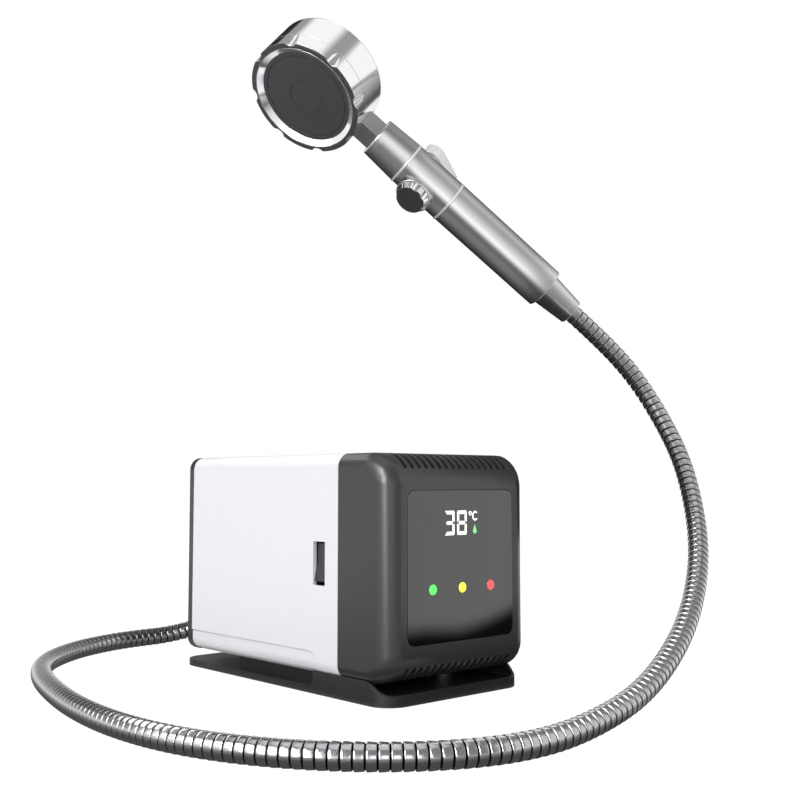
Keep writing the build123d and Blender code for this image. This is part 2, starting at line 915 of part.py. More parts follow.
def switch_housing():
    """The rocker's housing behind the sleeve's wall."""
    half_y = slot_width / 2 + switch_frame
    half_z = slot_height / 2 + switch_frame
    body = block(wall_inside, wall_inside + switch_depth, slot_y - half_y, slot_y + half_y,
                 slot_middle - half_z, slot_middle + half_z)
    room_y = slot_width / 2
    room_z = slot_height / 2
    body -= block(wall_inside - overrun, wall_inside + switch_depth - switch_frame,
                  slot_y - room_y, slot_y + room_y, slot_middle - room_z, slot_middle + room_z)
    return body - rod_y(rocker_x, slot_y - half_y, slot_y + half_y, slot_middle, rocker_pin_radius + running_gap)


def power_rocker():
    """The rocker: a dished face between raised ends, on two stub pins, resting in its off position."""
    half = rocker_height / 2
    face = rocker_x - rocker_thickness
    width = slot_width - 2 * rocker_side_gap
    points = [
        (-rocker_thickness, half),
        (-rocker_thickness + rocker_dish, 0),
        (-rocker_thickness, -half),
        (-rocker_thickness + rocker_room, -half),
        (rocker_room, -half / 2),
        (rocker_room, half / 2),
        (-rocker_thickness + rocker_room, half),
    ]
    outline = make_face(Polyline(*points, close=True))
    across = facing_front(width / 2)
    body = extrude(across * outline, width)
    stub = width / 2 + rocker_pin_length
    body += rod_y(0, -stub, stub, 0, rocker_pin_radius)
    return Pos(face + rocker_thickness, slot_y, slot_middle) * Rot(0, rocker_tilt, 0) * body


# Mains inlet

def power_inlet():
    """A snap-in mains inlet: flange, shell and an open socket."""
    rear = case_rear + socket_flange_thickness
    front = case_rear - socket_depth
    place = facing_front(rear, 0, socket_middle)
    flange = RectangleRounded(socket_width + 2 * socket_flange, socket_height + 2 * socket_flange, socket_corner)
    body = extrude(place * flange, socket_flange_thickness)
    shell = RectangleRounded(socket_width, socket_height, socket_corner)
    body += extrude(place * shell, rear - front)
    room = RectangleRounded(socket_width - 2 * socket_wall, socket_height - 2 * socket_wall,
                            socket_corner - socket_wall)
    body -= extrude(facing_front(rear + overrun, 0, socket_middle) * room, rear + overrun - front - socket_floor)
    for pin in inlet_pins():
        body -= pin
    return body


def inlet_pins():
    """Three flat contact pins, the middle one set higher."""
    front = case_rear - socket_depth
    pins = []
    for index in (-1, 0, 1):
        x = index * pin_pitch
        z = socket_middle + (pin_raise if index == 0 else -pin_raise)
        pins.append(block(x - pin_width / 2, x + pin_width / 2, front - socket_floor, front - socket_floor + pin_length,
                          z - pin_height / 2, z + pin_height / 2))
    return pins


# Water fittings

def fitting(x):
    """A threaded spigot with a flange against the well's floor and a shank that reaches inside."""
    end = well_floor_y + fitting_flange_thickness + thread_length
    body = rod_y(x, well_floor_y, end, fitting_height, thread_radius)
    body += rod_y(x, well_floor_y, well_floor_y + fitting_flange_thickness, fitting_height, fitting_flange_radius)
    body += rod_y(x, sensor_rear, well_floor_y, fitting_height, fitting_shank_radius)
    return body - rod_y(x, sensor_rear - overrun, end + overrun, fitting_height, thread_bore)


def inlet_fitting():
    """The cold water inlet, with a seat for its strainer."""
    end = well_floor_y + fitting_flange_thickness + thread_length
    room = thread_bore + strainer_wall + seat_gap
    return fitting(inlet_x) - rod_y(inlet_x, end - strainer_depth, end + overrun, fitting_height, room)


def lock_nuts():
    """Two hexagonal nuts inside the rear cover that hold the fittings."""
    nuts = []
    back = well_floor_y - well_wall
    for x in (inlet_x, outlet_x):
        nut = Location(facing_front(back, x, fitting_height)) * hexagon(lock_nut_flats, lock_nut_height)
        nuts.append(nut - rod_y(x, back - 2 * lock_nut_height, back + overrun, fitting_height,
                                fitting_shank_radius + running_gap))
    return nuts


def inlet_strainer():
    """A perforated cup pushed into the inlet's mouth."""
    end = well_floor_y + fitting_flange_thickness + thread_length
    radius = thread_bore + strainer_wall
    low = end - strainer_depth
    cup = rod_y(inlet_x, low, end, fitting_height, radius)
    cup -= rod_y(inlet_x, low + strainer_wall, end + overrun, fitting_height, thread_bore)
    for index in range(strainer_holes):
        angle = 2 * math.pi * index / strainer_holes
        x = inlet_x + thread_bore * math.cos(angle) / 2
        z = fitting_height + thread_bore * math.sin(angle) / 2
        cup -= rod_y(x, low - overrun, end + overrun, z, strainer_hole_radius)
    return cup


def hose_nut():
    """The hexagonal nut that holds the hose on the outlet's thread."""
    start = well_floor_y + fitting_flange_thickness + seat_gap
    hex_end = start + hose_nut_height
    end = hose_route[0][1]
    x = outlet_x
    bar_hex = Location(facing_front(hex_end, x, fitting_height)) * hexagon(hose_nut_flats, hose_nut_height)
    nut = bar_hex & rod_y(x, start, hex_end, fitting_height, hose_nut_flats / 2 + hose_nut_edge)
    nut += rod_y(x, hex_end, end, fitting_height, hose_nut_collar_radius)
    thread_end = well_floor_y + fitting_flange_thickness + thread_length + washer_thickness
    nut -= rod_y(x, start - overrun, thread_end, fitting_height, thread_radius + running_gap)
    return nut - rod_y(x, start, end + overrun, fitting_height, hose_bore)


def hose_washers():
    """A rubber washer in each of the hose's two nuts."""
    thread_end = well_floor_y + fitting_flange_thickness + thread_length
    ring = rod_y(outlet_x, thread_end, thread_end + washer_thickness, fitting_height, thread_radius - seat_gap)
    ring -= rod_y(outlet_x, thread_end - overrun, thread_end + 2 * washer_thickness, fitting_height, hose_bore)
    tail_ring = rod_z(0, 0, cone_mouth, cone_mouth + washer_thickness, cone_wall_radius - seat_gap)
    tail_ring -= rod_z(0, 0, 0, cone_length, hose_bore)
    return [ring, hand_place() * tail_ring]


# Hose

def hose_radii():
    """Each corner's radius: a share of its shorter run over the tangent of half its turn."""
    points = [Vector(*point) for point in hose_route]
    radii = []
    for before, here, after in zip(points, points[1:], points[2:]):
        turn = math.radians((here - before).get_angle(after - here))
        shorter = min((here - before).length, (after - here).length)
        radii.append(run_share * shorter / math.tan(turn / 2))
    return radii


def hose():
    """A ribbed tube: each rib is four circles of a ruled loft, square to the route."""
    path = FilletPolyline(*hose_route, radius=hose_radii())
    length = path.length
    pitch = (length - 4 * hose_radius) / hose_ribs
    stations = [(0.0, 0.0)]
    for index in range(hose_ribs):
        start = 2 * hose_radius + index * pitch
        rise = rib_low_share * pitch
        crest = rib_high_share * pitch
        stations += [(start, rib_depth), (start + rise / 2, 0.0), (start + rise / 2 + crest, 0.0),
                     (start + rise + crest, rib_depth)]
    stations.append((length, 0.0))
    rings = []
    bores = []
    side = Vector(0, 0, 1)
    for distance, depth in stations:
        share = min(distance / length, 1.0)
        direction = path % share
        side = (side - direction * side.dot(direction)).normalized()
        place = Plane(origin=path @ share, x_dir=side, z_dir=direction)
        rings.append(place * Circle(hose_radius - depth))
        bores.append(place * Circle(hose_bore))
    body = loft(rings, ruled=True)
    print("hose length", round(length, 1), "ribs", hose_ribs, "pitch", round(pitch, 2))
    print("hose radii", [round(radius) for radius in hose_radii()])
    return body - loft(bores, ruled=True)


# Hand shower

def hand_place():
    """Where the hand shower's tail is, with z along its handle and x out of its spray side."""
    rise, heading = math.radians(handle_rise), math.radians(handle_heading)
    axis = (math.cos(rise) * math.cos(heading), math.cos(rise) * math.sin(heading), math.sin(rise))
    return Location(Plane(origin=tail_place, x_dir=face_direction, z_dir=axis))


def along_x(x0, x1, z, radius):
    """A round bar across the hand shower, from x0 to x1 out of its axis."""
    place = Plane(origin=(x0, 0, z), x_dir=(0, 1, 0), z_dir=(1, 0, 0))
    return extrude(place * Circle(radius), x1 - x0)


def tapered(z0, z1, r0, r1):
    """A round bar along the handle whose radius changes from r0 to r1."""
    return Pos(0, 0, (z0 + z1) / 2) * Cone(r0, r1, z1 - z0)


def cone_nut():
    """The conical nut between the hose and the grip."""
    nut = tapered(0, cone_length, cone_small_radius, cone_large_radius)
    nut = fillet(nut.edges().group_by(Axis.Z)[0], seam_groove)
    nut -= rod_z(0, 0, cone_mouth, cone_length + overrun, cone_wall_radius)
    return nut - rod_z(0, 0, -overrun, cone_length, hose_bore)


def grip_tube():
    """The lower grip: a tube with a threaded spigot that the cone nut screws onto."""
    tube = tapered(cone_length + seat_gap, ring_low - ring_width, grip_end_radius, grip_radius)
    tube = fillet(tube.edges().group_by(Axis.Z)[0], seam_groove)
    floor = cone_length + grip_floor
    tube -= rod_z(0, 0, floor, ring_low + overrun, grip_radius - grip_wall)
    spigot_low = cone_length - grip_spigot
    tube += rod_z(0, 0, spigot_low, cone_length + seat_gap, cone_wall_radius - running_gap)
    return tube - rod_z(0, 0, spigot_low - overrun, floor + overrun, thread_bore)


def trim_rings():
    """Two polished rings between the handle's three sections, each in a shallow groove."""
    rings = []
    for z in (ring_low, ring_high):
        proud = rod_z(0, 0, z - ring_width + ring_edge, z - ring_edge, grip_radius + ring_proud)
        proud = fillet(proud.edges(), ring_proud)
        ring = proud + rod_z(0, 0, z - ring_width, z, grip_radius - ring_sink)
        rings.append(ring - rod_z(0, 0, z - 2 * ring_width, z + ring_width, thread_bore))
    return rings


def filter_cartridge():
    """A filter cartridge in the grip: two caps on a hollow pleated core."""
    low = cone_length + grip_floor
    high = low + cartridge_length
    core = rod_z(0, 0, low, high, cartridge_radius - cartridge_cap / 2)
    core += rod_z(0, 0, low, low + cartridge_cap, cartridge_radius)
    core += rod_z(0, 0, high - cartridge_cap, high, cartridge_radius)
    return core - rod_z(0, 0, low - overrun, high + overrun, cartridge_core)


def valve_body():
    """The middle section: a solid block with its waterway and bores for the button and the lever."""
    body = rod_z(0, 0, ring_low, ring_high - ring_width, grip_radius)
    body += collar()
    body += along_x(-grip_radius, -grip_radius / 2, lever_z, lever_seat_radius)
    body -= rod_z(0, 0, ring_low - overrun, ring_high, valve_bore)
    body -= along_x(0, grip_radius + 2 * collar_height, button_z, stem_radius + running_gap)
    outer = grip_radius + collar_height
    body -= along_x(outer - spring_length, outer + overrun, button_z, spring_radius + spring_wire + moving_gap)
    body -= along_x(-grip_radius - overrun, -grip_radius + lever_spindle_depth, lever_z,
                    lever_spindle_radius + running_gap)
    return body


def collar():
    """The round boss that the press button slides over."""
    return along_x(grip_radius - collar_height, grip_radius + collar_height, button_z, collar_radius)


def button_foot():
    """How far out of the handle's axis the released button starts."""
    return grip_radius + button_travel + button_clearance


def scalloped_bar(x0, x1, radius):
    """A round bar with three finger notches along one side."""
    return notched(along_x(x0, x1, button_z, radius), x0, x1, radius)


def notched(form, x0, x1, radius):
    """A form with the three finger notches cut from x0 to x1."""
    reach = button_radius + button_notch_out
    for degrees in button_notch_angles:
        angle = math.radians(degrees)
        notch = along_x(x0 - overrun, x1 + overrun, 0, button_notch_radius + button_radius - radius)
        form -= Pos(0, reach * math.cos(angle), button_z + reach * math.sin(angle)) * notch
    return form


def press_button():
    """The notched button on its round skirt, hollow over the collar, with its stem into the valve."""
    foot = button_foot()
    skirt = foot + button_skirt_height
    rim = foot + button_height - button_cap_thickness
    inner = grip_radius + collar_height + button_travel + moving_gap
    middle = Plane(origin=((skirt + rim) / 2, 0, button_z), x_dir=(0, 1, 0), z_dir=(1, 0, 0))
    knob = Location(middle) * Cone(button_foot_radius, button_radius, rim - skirt)
    knob = notched(knob, skirt, rim, button_radius)
    base = along_x(foot, skirt, button_z, button_skirt_radius)
    knob += fillet(base.edges().group_by(Axis.X)[-1], seam_groove)
    knob -= along_x(foot - overrun, inner, button_z, collar_radius + moving_gap)
    return knob + along_x(inner - stem_length, inner + overrun / 2, button_z, stem_radius)


def button_cap():
    """The black cap that closes the button's face."""
    top = button_foot() + button_height
    return scalloped_bar(top - button_cap_thickness, top, button_radius - button_cap_step)


def button_spring():
    """A helical spring around the button's stem."""
    low = grip_radius + collar_height - spring_length + spring_wire
    high = grip_radius + collar_height + button_travel + moving_gap - spring_wire
    pitch = (high - low) / spring_turns
    place = Plane(origin=(low, 0, button_z), x_dir=(0, 1, 0), z_dir=(1, 0, 0))
    helix = Helix(pitch, high - low, spring_radius)
    start = Plane(origin=helix @ 0, z_dir=helix % 0)
    coil = sweep(start * Circle(spring_wire), path=helix)
    return Location(place) * coil


def flow_lever():
    """The teardrop lever: a round hub and an arm that thins towards the tail, on a spindle."""
    inner = -grip_radius - moving_gap
    outer = -grip_radius - lever_out
    under = -grip_radius - lever_underside
    hub = Circle(lever_hub_radius)
    tip = Pos(-lever_tip_length, 0) * Circle(lever_tip_radius)
    outline = make_hull((hub + tip).edges())
    place = Plane(origin=(outer, 0, lever_z), x_dir=(0, 0, 1), z_dir=(1, 0, 0))
    lever = extrude(place * outline, under - outer)
    lever = fillet(lever.edges().group_by(Axis.X)[0], lever_edge)
    end = lever_z - lever_tip_length - lever_tip_radius - overrun
    tip_outer = -grip_radius - lever_tip_out
    slope = [(outer - overrun, lever_z), (outer, lever_z), (tip_outer, end), (outer - overrun, end)]
    wedge = make_face(Plane.XZ * Polyline(*slope, close=True))
    lever -= extrude(wedge, lever_hub_radius + overrun, both=True)
    lever += along_x(under, inner, lever_z, lever_hub_radius)
    spindle_end = -grip_radius + lever_spindle_depth - moving_gap
    return lever + along_x(inner, spindle_end, lever_z, lever_spindle_radius)


def neck_socket():
    """The upper section, which narrows towards the head and holds the neck."""
    body = tapered(ring_high, socket_top, grip_radius, neck_socket_radius)
    body = fillet(body.edges().group_by(Axis.Z)[-1], socket_edge)
    low = socket_top - neck_length / 2
    body -= block(-neck_room(), neck_room(), -neck_room(), neck_room(), low, socket_top + overrun)
    return body - rod_z(0, 0, ring_high - overrun, low + overrun, valve_bore)


def neck_room():
    """Half the side of the neck's square socket."""
    return neck_side / 2 + seat_gap


def neck():
    """The square neck from the socket into the head's side."""
    low = socket_top - neck_length / 2
    inside = math.sqrt((head_radius - head_wall / 2) ** 2 - neck_room() ** 2)
    high = head_along - inside
    half = neck_side / 2
    bar_square = block(-half, half, -half, half, low, high)
    return bar_square - rod_z(0, 0, low - overrun, high + overrun, neck_bore)


def head_drum():
    """The back of the spray head: a chromed drum with a bush for the dial and the neck's opening."""
    drum = along_x(face_back, dial_back - moving_gap, head_along, head_radius)
    drum = fillet(drum.edges().group_by(Axis.X)[0], head_back_fillet)
    inner = face_back + head_back_wall
    drum -= along_x(inner, dial_back + overrun, head_along, head_radius - head_wall)
    drum += along_x(inner, dial_back - dial_spigot - moving_gap, head_along, dial_bush_radius)
    drum -= along_x(inner + overrun, dial_back, head_along, dial_axle_radius + running_gap)
    room = neck_room()
    return drum - block(-room, room, -room, room, head_along - head_radius - overrun, head_along - head_radius / 2)


def flutes(x_face):
    """The scallop cutters around the rim: cones that run out behind the face."""
    cutters = []
    reach = head_radius + flute_out
    for index in range(flute_count):
        angle = 2 * math.pi * index / flute_count
        place = Plane(origin=(x_face, reach * math.cos(angle), head_along + reach * math.sin(angle)),
                      x_dir=(0, 1, 0), z_dir=(-1, 0, 0))
        length = flute_taper + overrun
        start = Pos(0, 0, length / 2 - overrun)
        cutters.append(Location(place) * start * Cone(flute_radius * length / flute_taper, 0, length))
    return cutters


def plate_seat_radius():
    """The radius of the plate's seat, at the foot of the dial's sloped recess."""
    return head_radius - dial_rim_wall - dial_slope


def recess():
    """The dial's recess: a slope from the bezel's inner edge down to the plate, then the plate's seat."""
    middle = Plane(origin=((face_out + plate_face) / 2, 0, head_along), x_dir=(0, 1, 0), z_dir=(1, 0, 0))
    seat = plate_seat_radius()
    form = Location(middle) * Cone(seat, head_radius - dial_rim_wall, dial_recess)
    rear = plate_face - plate_thickness
    form += along_x(rear, plate_face, head_along, seat)
    return form + along_x(face_out, face_out + overrun, head_along, head_radius - dial_rim_wall)


def fluted(ring):
    """A ring with the flutes cut around its rim."""
    for cutter in flutes(face_out):
        ring -= cutter
    return ring


def bezel_inside():
    """The radius of the dial's thin lip, which the bezel surrounds."""
    return head_radius - dial_rim_wall + dial_lip


def spray_dial():
    """The scalloped front ring, which turns to change the spray, with a thin lip up to its face."""
    ring = fluted(along_x(dial_back, face_out - bezel_thickness, head_along, head_radius))
    ring += along_x(face_out - bezel_thickness, face_out, head_along, bezel_inside())
    ring += along_x(dial_back - dial_spigot, dial_back, head_along, head_radius - head_wall - moving_gap)
    ring -= recess()
    rear = plate_face - plate_thickness
    return ring - along_x(dial_back - dial_spigot - overrun, rear + overrun, head_along,
                          plate_seat_radius() - dial_ledge)


def dial_bezel():
    """The flat scalloped ring on the dial's front, around its lip."""
    low = face_out - bezel_thickness + seat_gap
    ring = along_x(low, face_out, head_along, head_radius)
    ring = chamfer(ring.edges().group_by(Axis.X)[-1], bezel_edge)
    return fluted(ring) - along_x(low - overrun, face_out + overrun, head_along, bezel_inside() + seat_gap)


def spray_plate():
    """The dark spray plate with an engraved ring, a seat for the disc and the dial's axle."""
    rear = plate_face - plate_thickness
    plate = along_x(rear, plate_face, head_along, plate_seat_radius() - seat_gap)
    groove = groove_share * head_radius
    ring = along_x(plate_face - groove_depth, plate_face + overrun, head_along, groove + groove_width / 2)
    ring -= along_x(plate_face - 2 * groove_depth, plate_face + 2 * overrun, head_along, groove - groove_width / 2)
    plate -= ring
    plate -= along_x(plate_face - disc_thickness, plate_face + overrun, head_along, disc_share * head_radius)
    axle_end = face_back + head_back_wall + overrun + moving_gap
    return plate + along_x(axle_end, rear, head_along, dial_axle_radius)


def centre_disc():
    """The disc in the middle of the spray plate."""
    low = plate_face - disc_thickness
    return along_x(low, plate_face - disc_sink, head_along, disc_share * head_radius - disc_gap)


# Inside the case

def chassis():
    """A bent steel sheet: floor, front wall with the fan's hole, shelf and rear leg."""
    half = chassis_width / 2
    floor_top = inside_floor + sheet
    frame = block(-half, half, bulkhead_y, chassis_rear, inside_floor, floor_top)
    frame += block(-half, half, bulkhead_y, bulkhead_y + sheet, inside_floor, bulkhead_top)
    frame += block(-half, half, bulkhead_y, chassis_rear, shelf_z - sheet, shelf_z)
    frame += block(-leg_width / 2, leg_width / 2, chassis_rear - sheet, chassis_rear, inside_floor, shelf_z)
    frame -= rod_y(0, bulkhead_y - overrun, bulkhead_y + 2 * sheet, fan_middle, fan_hole_radius)
    frame -= block(-half - overrun, -half + switch_depth, bulkhead_y - overrun, slot_y + slot_height,
                   slot_middle - slot_height, shelf_z + overrun)
    for x, y in riser_corners():
        frame -= rod_z(x, y, inside_floor - overrun, floor_top + overrun, riser_boss_radius)
    return frame


def fan_frame():
    """The fan's square frame with a motor seat on three struts."""
    half = fan_side / 2
    place = facing_front(bulkhead_y, 0, fan_middle)
    frame = extrude(place * RectangleRounded(fan_side, fan_side, fan_corner), fan_depth)
    frame -= rod_y(0, fan_front - overrun, bulkhead_y + overrun, fan_middle, half - fan_wall)
    seat_rear = fan_front + fan_strut_depth
    frame += rod_y(0, fan_front, seat_rear, fan_middle, fan_motor_radius)
    for index in range(3):
        strut = block(0, half - fan_wall / 2, -fan_strut_depth, 0, -fan_strut_width / 2, fan_strut_width / 2)
        frame += Pos(0, seat_rear, fan_middle) * Rot(0, 120 * index + 90, 0) * strut
    return frame + rod_y(0, fan_front, bulkhead_y - overrun, fan_middle, fan_axle_radius)


def fan_rotor():
    """The fan's cup and its pitched blades."""
    front = fan_front + fan_strut_depth + moving_gap
    rear = bulkhead_y - overrun - moving_gap
    hub = rod_y(0, front, rear, fan_middle, fan_hub_radius)
    tip = fan_side / 2 - fan_wall - overrun
    middle = (front + rear) / 2
    for index in range(fan_blades):
        half = fan_blade_thickness / 2
        blade = block(fan_hub_radius - fan_hub_wall, tip, -fan_blade_width / 2, fan_blade_width / 2, -half, half)
        hub += Pos(0, middle, fan_middle) * Rot(0, 360 * index / fan_blades, 0) * Rot(fan_blade_pitch_angle, 0, 0) * blade
    return hub - rod_y(0, fan_front, bulkhead_y, fan_middle, fan_axle_radius + running_gap)


def heater_block():
    """The cast aluminium heater block on four feet, with the element's and the water's channels."""
    half = heater_width / 2
    front = heater_rear - heater_length
    body = block(heater_x - half, heater_x + half, front, heater_rear, heater_bottom, heater_top)
    body = fillet(body.edges().filter_by(Axis.Y), heater_corner)
    for x in (heater_x - half + heater_foot_inset, heater_x + half - heater_foot_inset):
        for y in (front + heater_foot_inset, heater_rear - heater_foot_inset):
            body += rod_z(x, y, inside_floor + sheet, heater_bottom + overrun, heater_foot_radius)
    body -= heater_element()
    body -= rod_y(outlet_x, link_y(), heater_rear + overrun, fitting_height, pipe_radius)
    body -= rod_z(heater_x, link_y(), fitting_height, heater_top + overrun, pipe_radius)
    return body - rod_z(heater_x, heater_rear - probe_setback, heater_top - probe_length, heater_top + overrun,
                        probe_radius)


def heater_element():
    """The U-shaped heating element cast into the block, with its two ends out of the front."""
    z = heater_bottom + element_height_share * heater_height
    front = heater_rear - heater_length
    back = heater_rear - element_bend - 2 * element_radius
    left, right = heater_x - element_bend, heater_x + element_bend
    points = [(left, front - element_stub, z), (left, back, z), (right, back, z), (right, front - element_stub, z)]
    path = FilletPolyline(*points, radius=element_bend - element_radius / 2)
    start = Plane(origin=path @ 0, z_dir=path % 0)
    return sweep(start * Circle(element_radius), path=path)


def thermal_cutout():
    """A disc thermostat on the heater's top, with two flat tabs."""
    y = heater_rear - cutout_setback
    disc = rod_z(heater_x, y, heater_top, heater_top + cutout_height, cutout_radius)
    half = cutout_tab_width / 2
    for side in (-1, 1):
        x = heater_x + side * cutout_tab_pitch / 2
        tab_half = screw_radius / 4
        disc += block(x - tab_half, x + tab_half, y - half, y + half, heater_top,
                      heater_top + cutout_height + cutout_tab_height)
    return disc


def temperature_probe():
    """A probe pushed into the heater beside the hot outlet."""
    y = heater_rear - probe_setback
    low = heater_top - probe_length
    rod = rod_z(heater_x, y, low, heater_top + probe_head, probe_radius - running_gap)
    return rod + rod_z(heater_x, y, heater_top, heater_top + probe_head, probe_radius + overrun)


def flow_sensor():
    """A moulded body between the inlet and the pump, with a spider at each end for the turbine."""
    half = sensor_side / 2
    body = block(inlet_x - half, inlet_x + half, pump_rear, sensor_rear, fitting_height - half + overrun,
                 fitting_height + half)
    body -= rod_y(inlet_x, pump_rear - overrun, sensor_rear + overrun, fitting_height, sensor_bore)
    middle = (pump_rear + sensor_rear) / 2
    reach = turbine_length / 2 + turbine_axle_stub
    for side in (-1, 1):
        y = middle + side * (reach + spider_thickness / 2 - turbine_axle_stub / 2 + overrun / 2)
        low, high = y - spider_thickness / 2, y + spider_thickness / 2
        arm = block(inlet_x - sensor_bore - seat_gap, inlet_x + sensor_bore + seat_gap, low, high,
                    fitting_height - spider_width / 2, fitting_height + spider_width / 2)
        body += arm
    axle_room = rod_y(inlet_x, middle - reach - running_gap, middle + reach + running_gap, fitting_height,
                      turbine_axle_radius + running_gap)
    return body - axle_room


def flow_turbine():
    """The small bladed wheel that the water turns."""
    middle = (pump_rear + sensor_rear) / 2
    low, high = middle - turbine_length / 2, middle + turbine_length / 2
    wheel = rod_y(inlet_x, low, high, fitting_height, turbine_hub_radius)
    wheel += rod_y(inlet_x, low - turbine_axle_stub, high + turbine_axle_stub, fitting_height, turbine_axle_radius)
    for index in range(turbine_blades):
        half = turbine_blade_thickness / 2
        blade = block(0, turbine_radius, -turbine_length / 2, turbine_length / 2, -half, half)
        wheel += Pos(inlet_x, middle, fitting_height) * Rot(0, 360 * index / turbine_blades, 0) * blade
    return wheel


def pump_axis_z():
    """The pump's axis stands on its radius above the chassis floor."""
    return inside_floor + sheet + pump_radius


def pump_housing():
    """The pump's round housing, open to the flow sensor, with its upright outlet."""
    z = pump_axis_z()
    body = rod_y(inlet_x, pump_front, pump_rear, z, pump_radius)
    body += rod_z(inlet_x, pump_middle(), z, z + pump_radius + overrun, pipe_radius + pump_wall)
    body -= rod_y(inlet_x, pump_front + pump_wall, pump_rear - pump_wall, z, pump_radius - pump_wall)
    body -= rod_y(inlet_x, pump_rear - 2 * pump_wall, pump_rear + overrun, fitting_height, pump_mouth)
    body -= rod_y(inlet_x, pump_front - overrun, pump_rear - pump_wall, z, motor_shaft_radius + running_gap)
    return body - rod_z(inlet_x, pump_middle(), z + pump_radius - 2 * pump_wall, z + 2 * pump_radius, pipe_radius)


def pump_middle():
    """The middle of the pump along the unit."""
    return (pump_front + pump_rear) / 2


def link_y():
    """Where the pipe from the pump comes down into the front of the heater."""
    return heater_rear - heater_length + link_setback


def pump_impeller():
    """The impeller and its shaft, which reaches into the motor."""
    z = pump_axis_z()
    front = pump_front + pump_wall + overrun
    wheel = rod_y(inlet_x, front, front + impeller_thickness, z, impeller_radius)
    wheel += rod_y(inlet_x, front, front + impeller_thickness + impeller_blade_height, z, impeller_hub_radius)
    for index in range(impeller_blades):
        half = impeller_blade_thickness / 2
        blade = block(0, impeller_radius, 0, impeller_thickness + impeller_blade_height, -half, half)
        wheel += Pos(inlet_x, front, z) * Rot(0, 360 * index / impeller_blades, 0) * blade
    return wheel + rod_y(inlet_x, pump_front - motor_shaft_length, front, z, motor_shaft_radius)


def pump_motor():
    """The motor in front of the pump, on a cradle."""
    z = pump_axis_z()
    body = rod_y(inlet_x, pump_front - motor_length, pump_front, z, motor_radius)
    half = cradle_width / 2
    body += block(inlet_x - half, inlet_x + half, pump_front - motor_length, pump_front - overrun,
                  inside_floor + sheet, z)
    room = pump_front - motor_shaft_length - running_gap
    return body - rod_y(inlet_x, room, pump_front + overrun, z, motor_shaft_radius + running_gap)


def bent_pipe(points, bend):
    """A round pipe along straight runs with bends between them."""
    path = FilletPolyline(*points, radius=bend)
    start = Plane(origin=path @ 0, z_dir=path % 0)
    return sweep(start * Circle(pipe_radius - seat_gap), path=path) - sweep(start * Circle(pipe_bore), path=path)


def link_pipe():
    """The pipe from the pump's outlet, forward over the motor and across to the heater's top."""
    foot = pump_axis_z() + pump_radius - pump_wall
    top = max(foot, heater_top) + link_rise
    points = [
        (inlet_x, pump_middle(), foot),
        (inlet_x, pump_middle(), top),
        (inlet_x, link_y(), top),
        (heater_x, link_y(), top),
        (heater_x, link_y(), heater_top - pump_wall),
    ]
    return bent_pipe(points, link_bend)


def outlet_pipe():
    """The straight pipe from the heater's rear to the hot outlet."""
    outer = rod_y(outlet_x, heater_rear - heater_foot_inset, sensor_rear, fitting_height, pipe_radius - seat_gap)
    return outer - rod_y(outlet_x, heater_rear - heater_length, sensor_rear + overrun, fitting_height, pipe_bore)


def control_places():
    """The control board's extent: low x, high x, low y and high y."""
    rear = chassis_rear - control_post_inset
    return -control_width / 2, control_width / 2, rear - control_length, rear


def control_board():
    """The control board with a relay and two chips, on four posts that stand on the shelf."""
    low_x, high_x, low_y, high_y = control_places()
    under = shelf_z + control_post_height
    top = under + board_thickness
    board = block(low_x, high_x, low_y, high_y, under, top)
    for x in (low_x + control_post_inset, high_x - control_post_inset):
        for y in (low_y + control_post_inset, high_y - control_post_inset):
            board += rod_z(x, y, shelf_z, under, control_post_radius)
    relay_y = high_y - control_post_inset
    board += block(low_x + 2 * chip_side, low_x + 2 * chip_side + relay_width, relay_y - relay_length, relay_y,
                   top, top + relay_height)
    for index in (1, 3):
        x = low_x + index * 2 * chip_side
        y = (low_y + high_y) / 2
        board += block(x, x + chip_side, y, y + chip_side, top, top + chip_height)
    return board


def sink_place():
    """The heat sink's low x, low y and underside on the control board."""
    low_x, high_x, low_y, high_y = control_places()
    return -sink_width / 2, low_y + control_post_inset, shelf_z + control_post_height + board_thickness


def heat_sink():
    """A finned aluminium heat sink in the fan's air."""
    x, y, z = sink_place()
    body = block(x, x + sink_width, y, y + sink_length, z, z + sink_floor)
    pitch = (sink_width - sink_fin_thickness) / (sink_fins - 1)
    for index in range(sink_fins):
        low = x + index * pitch
        body += block(low, low + sink_fin_thickness, y, y + sink_length, z, z + sink_height)
    return body


def power_triac():
    """The power switch that is clamped to the heat sink's rear."""
    x, y, z = sink_place()
    rear = y + sink_length
    return block(-triac_width / 2, triac_width / 2, rear, rear + triac_thickness, z, z + triac_height)


def hand(solid):
    """A piece of the hand shower in its place."""
    if isinstance(solid, list):
        return [hand_place() * one for one in solid]
    return hand_place() * solid


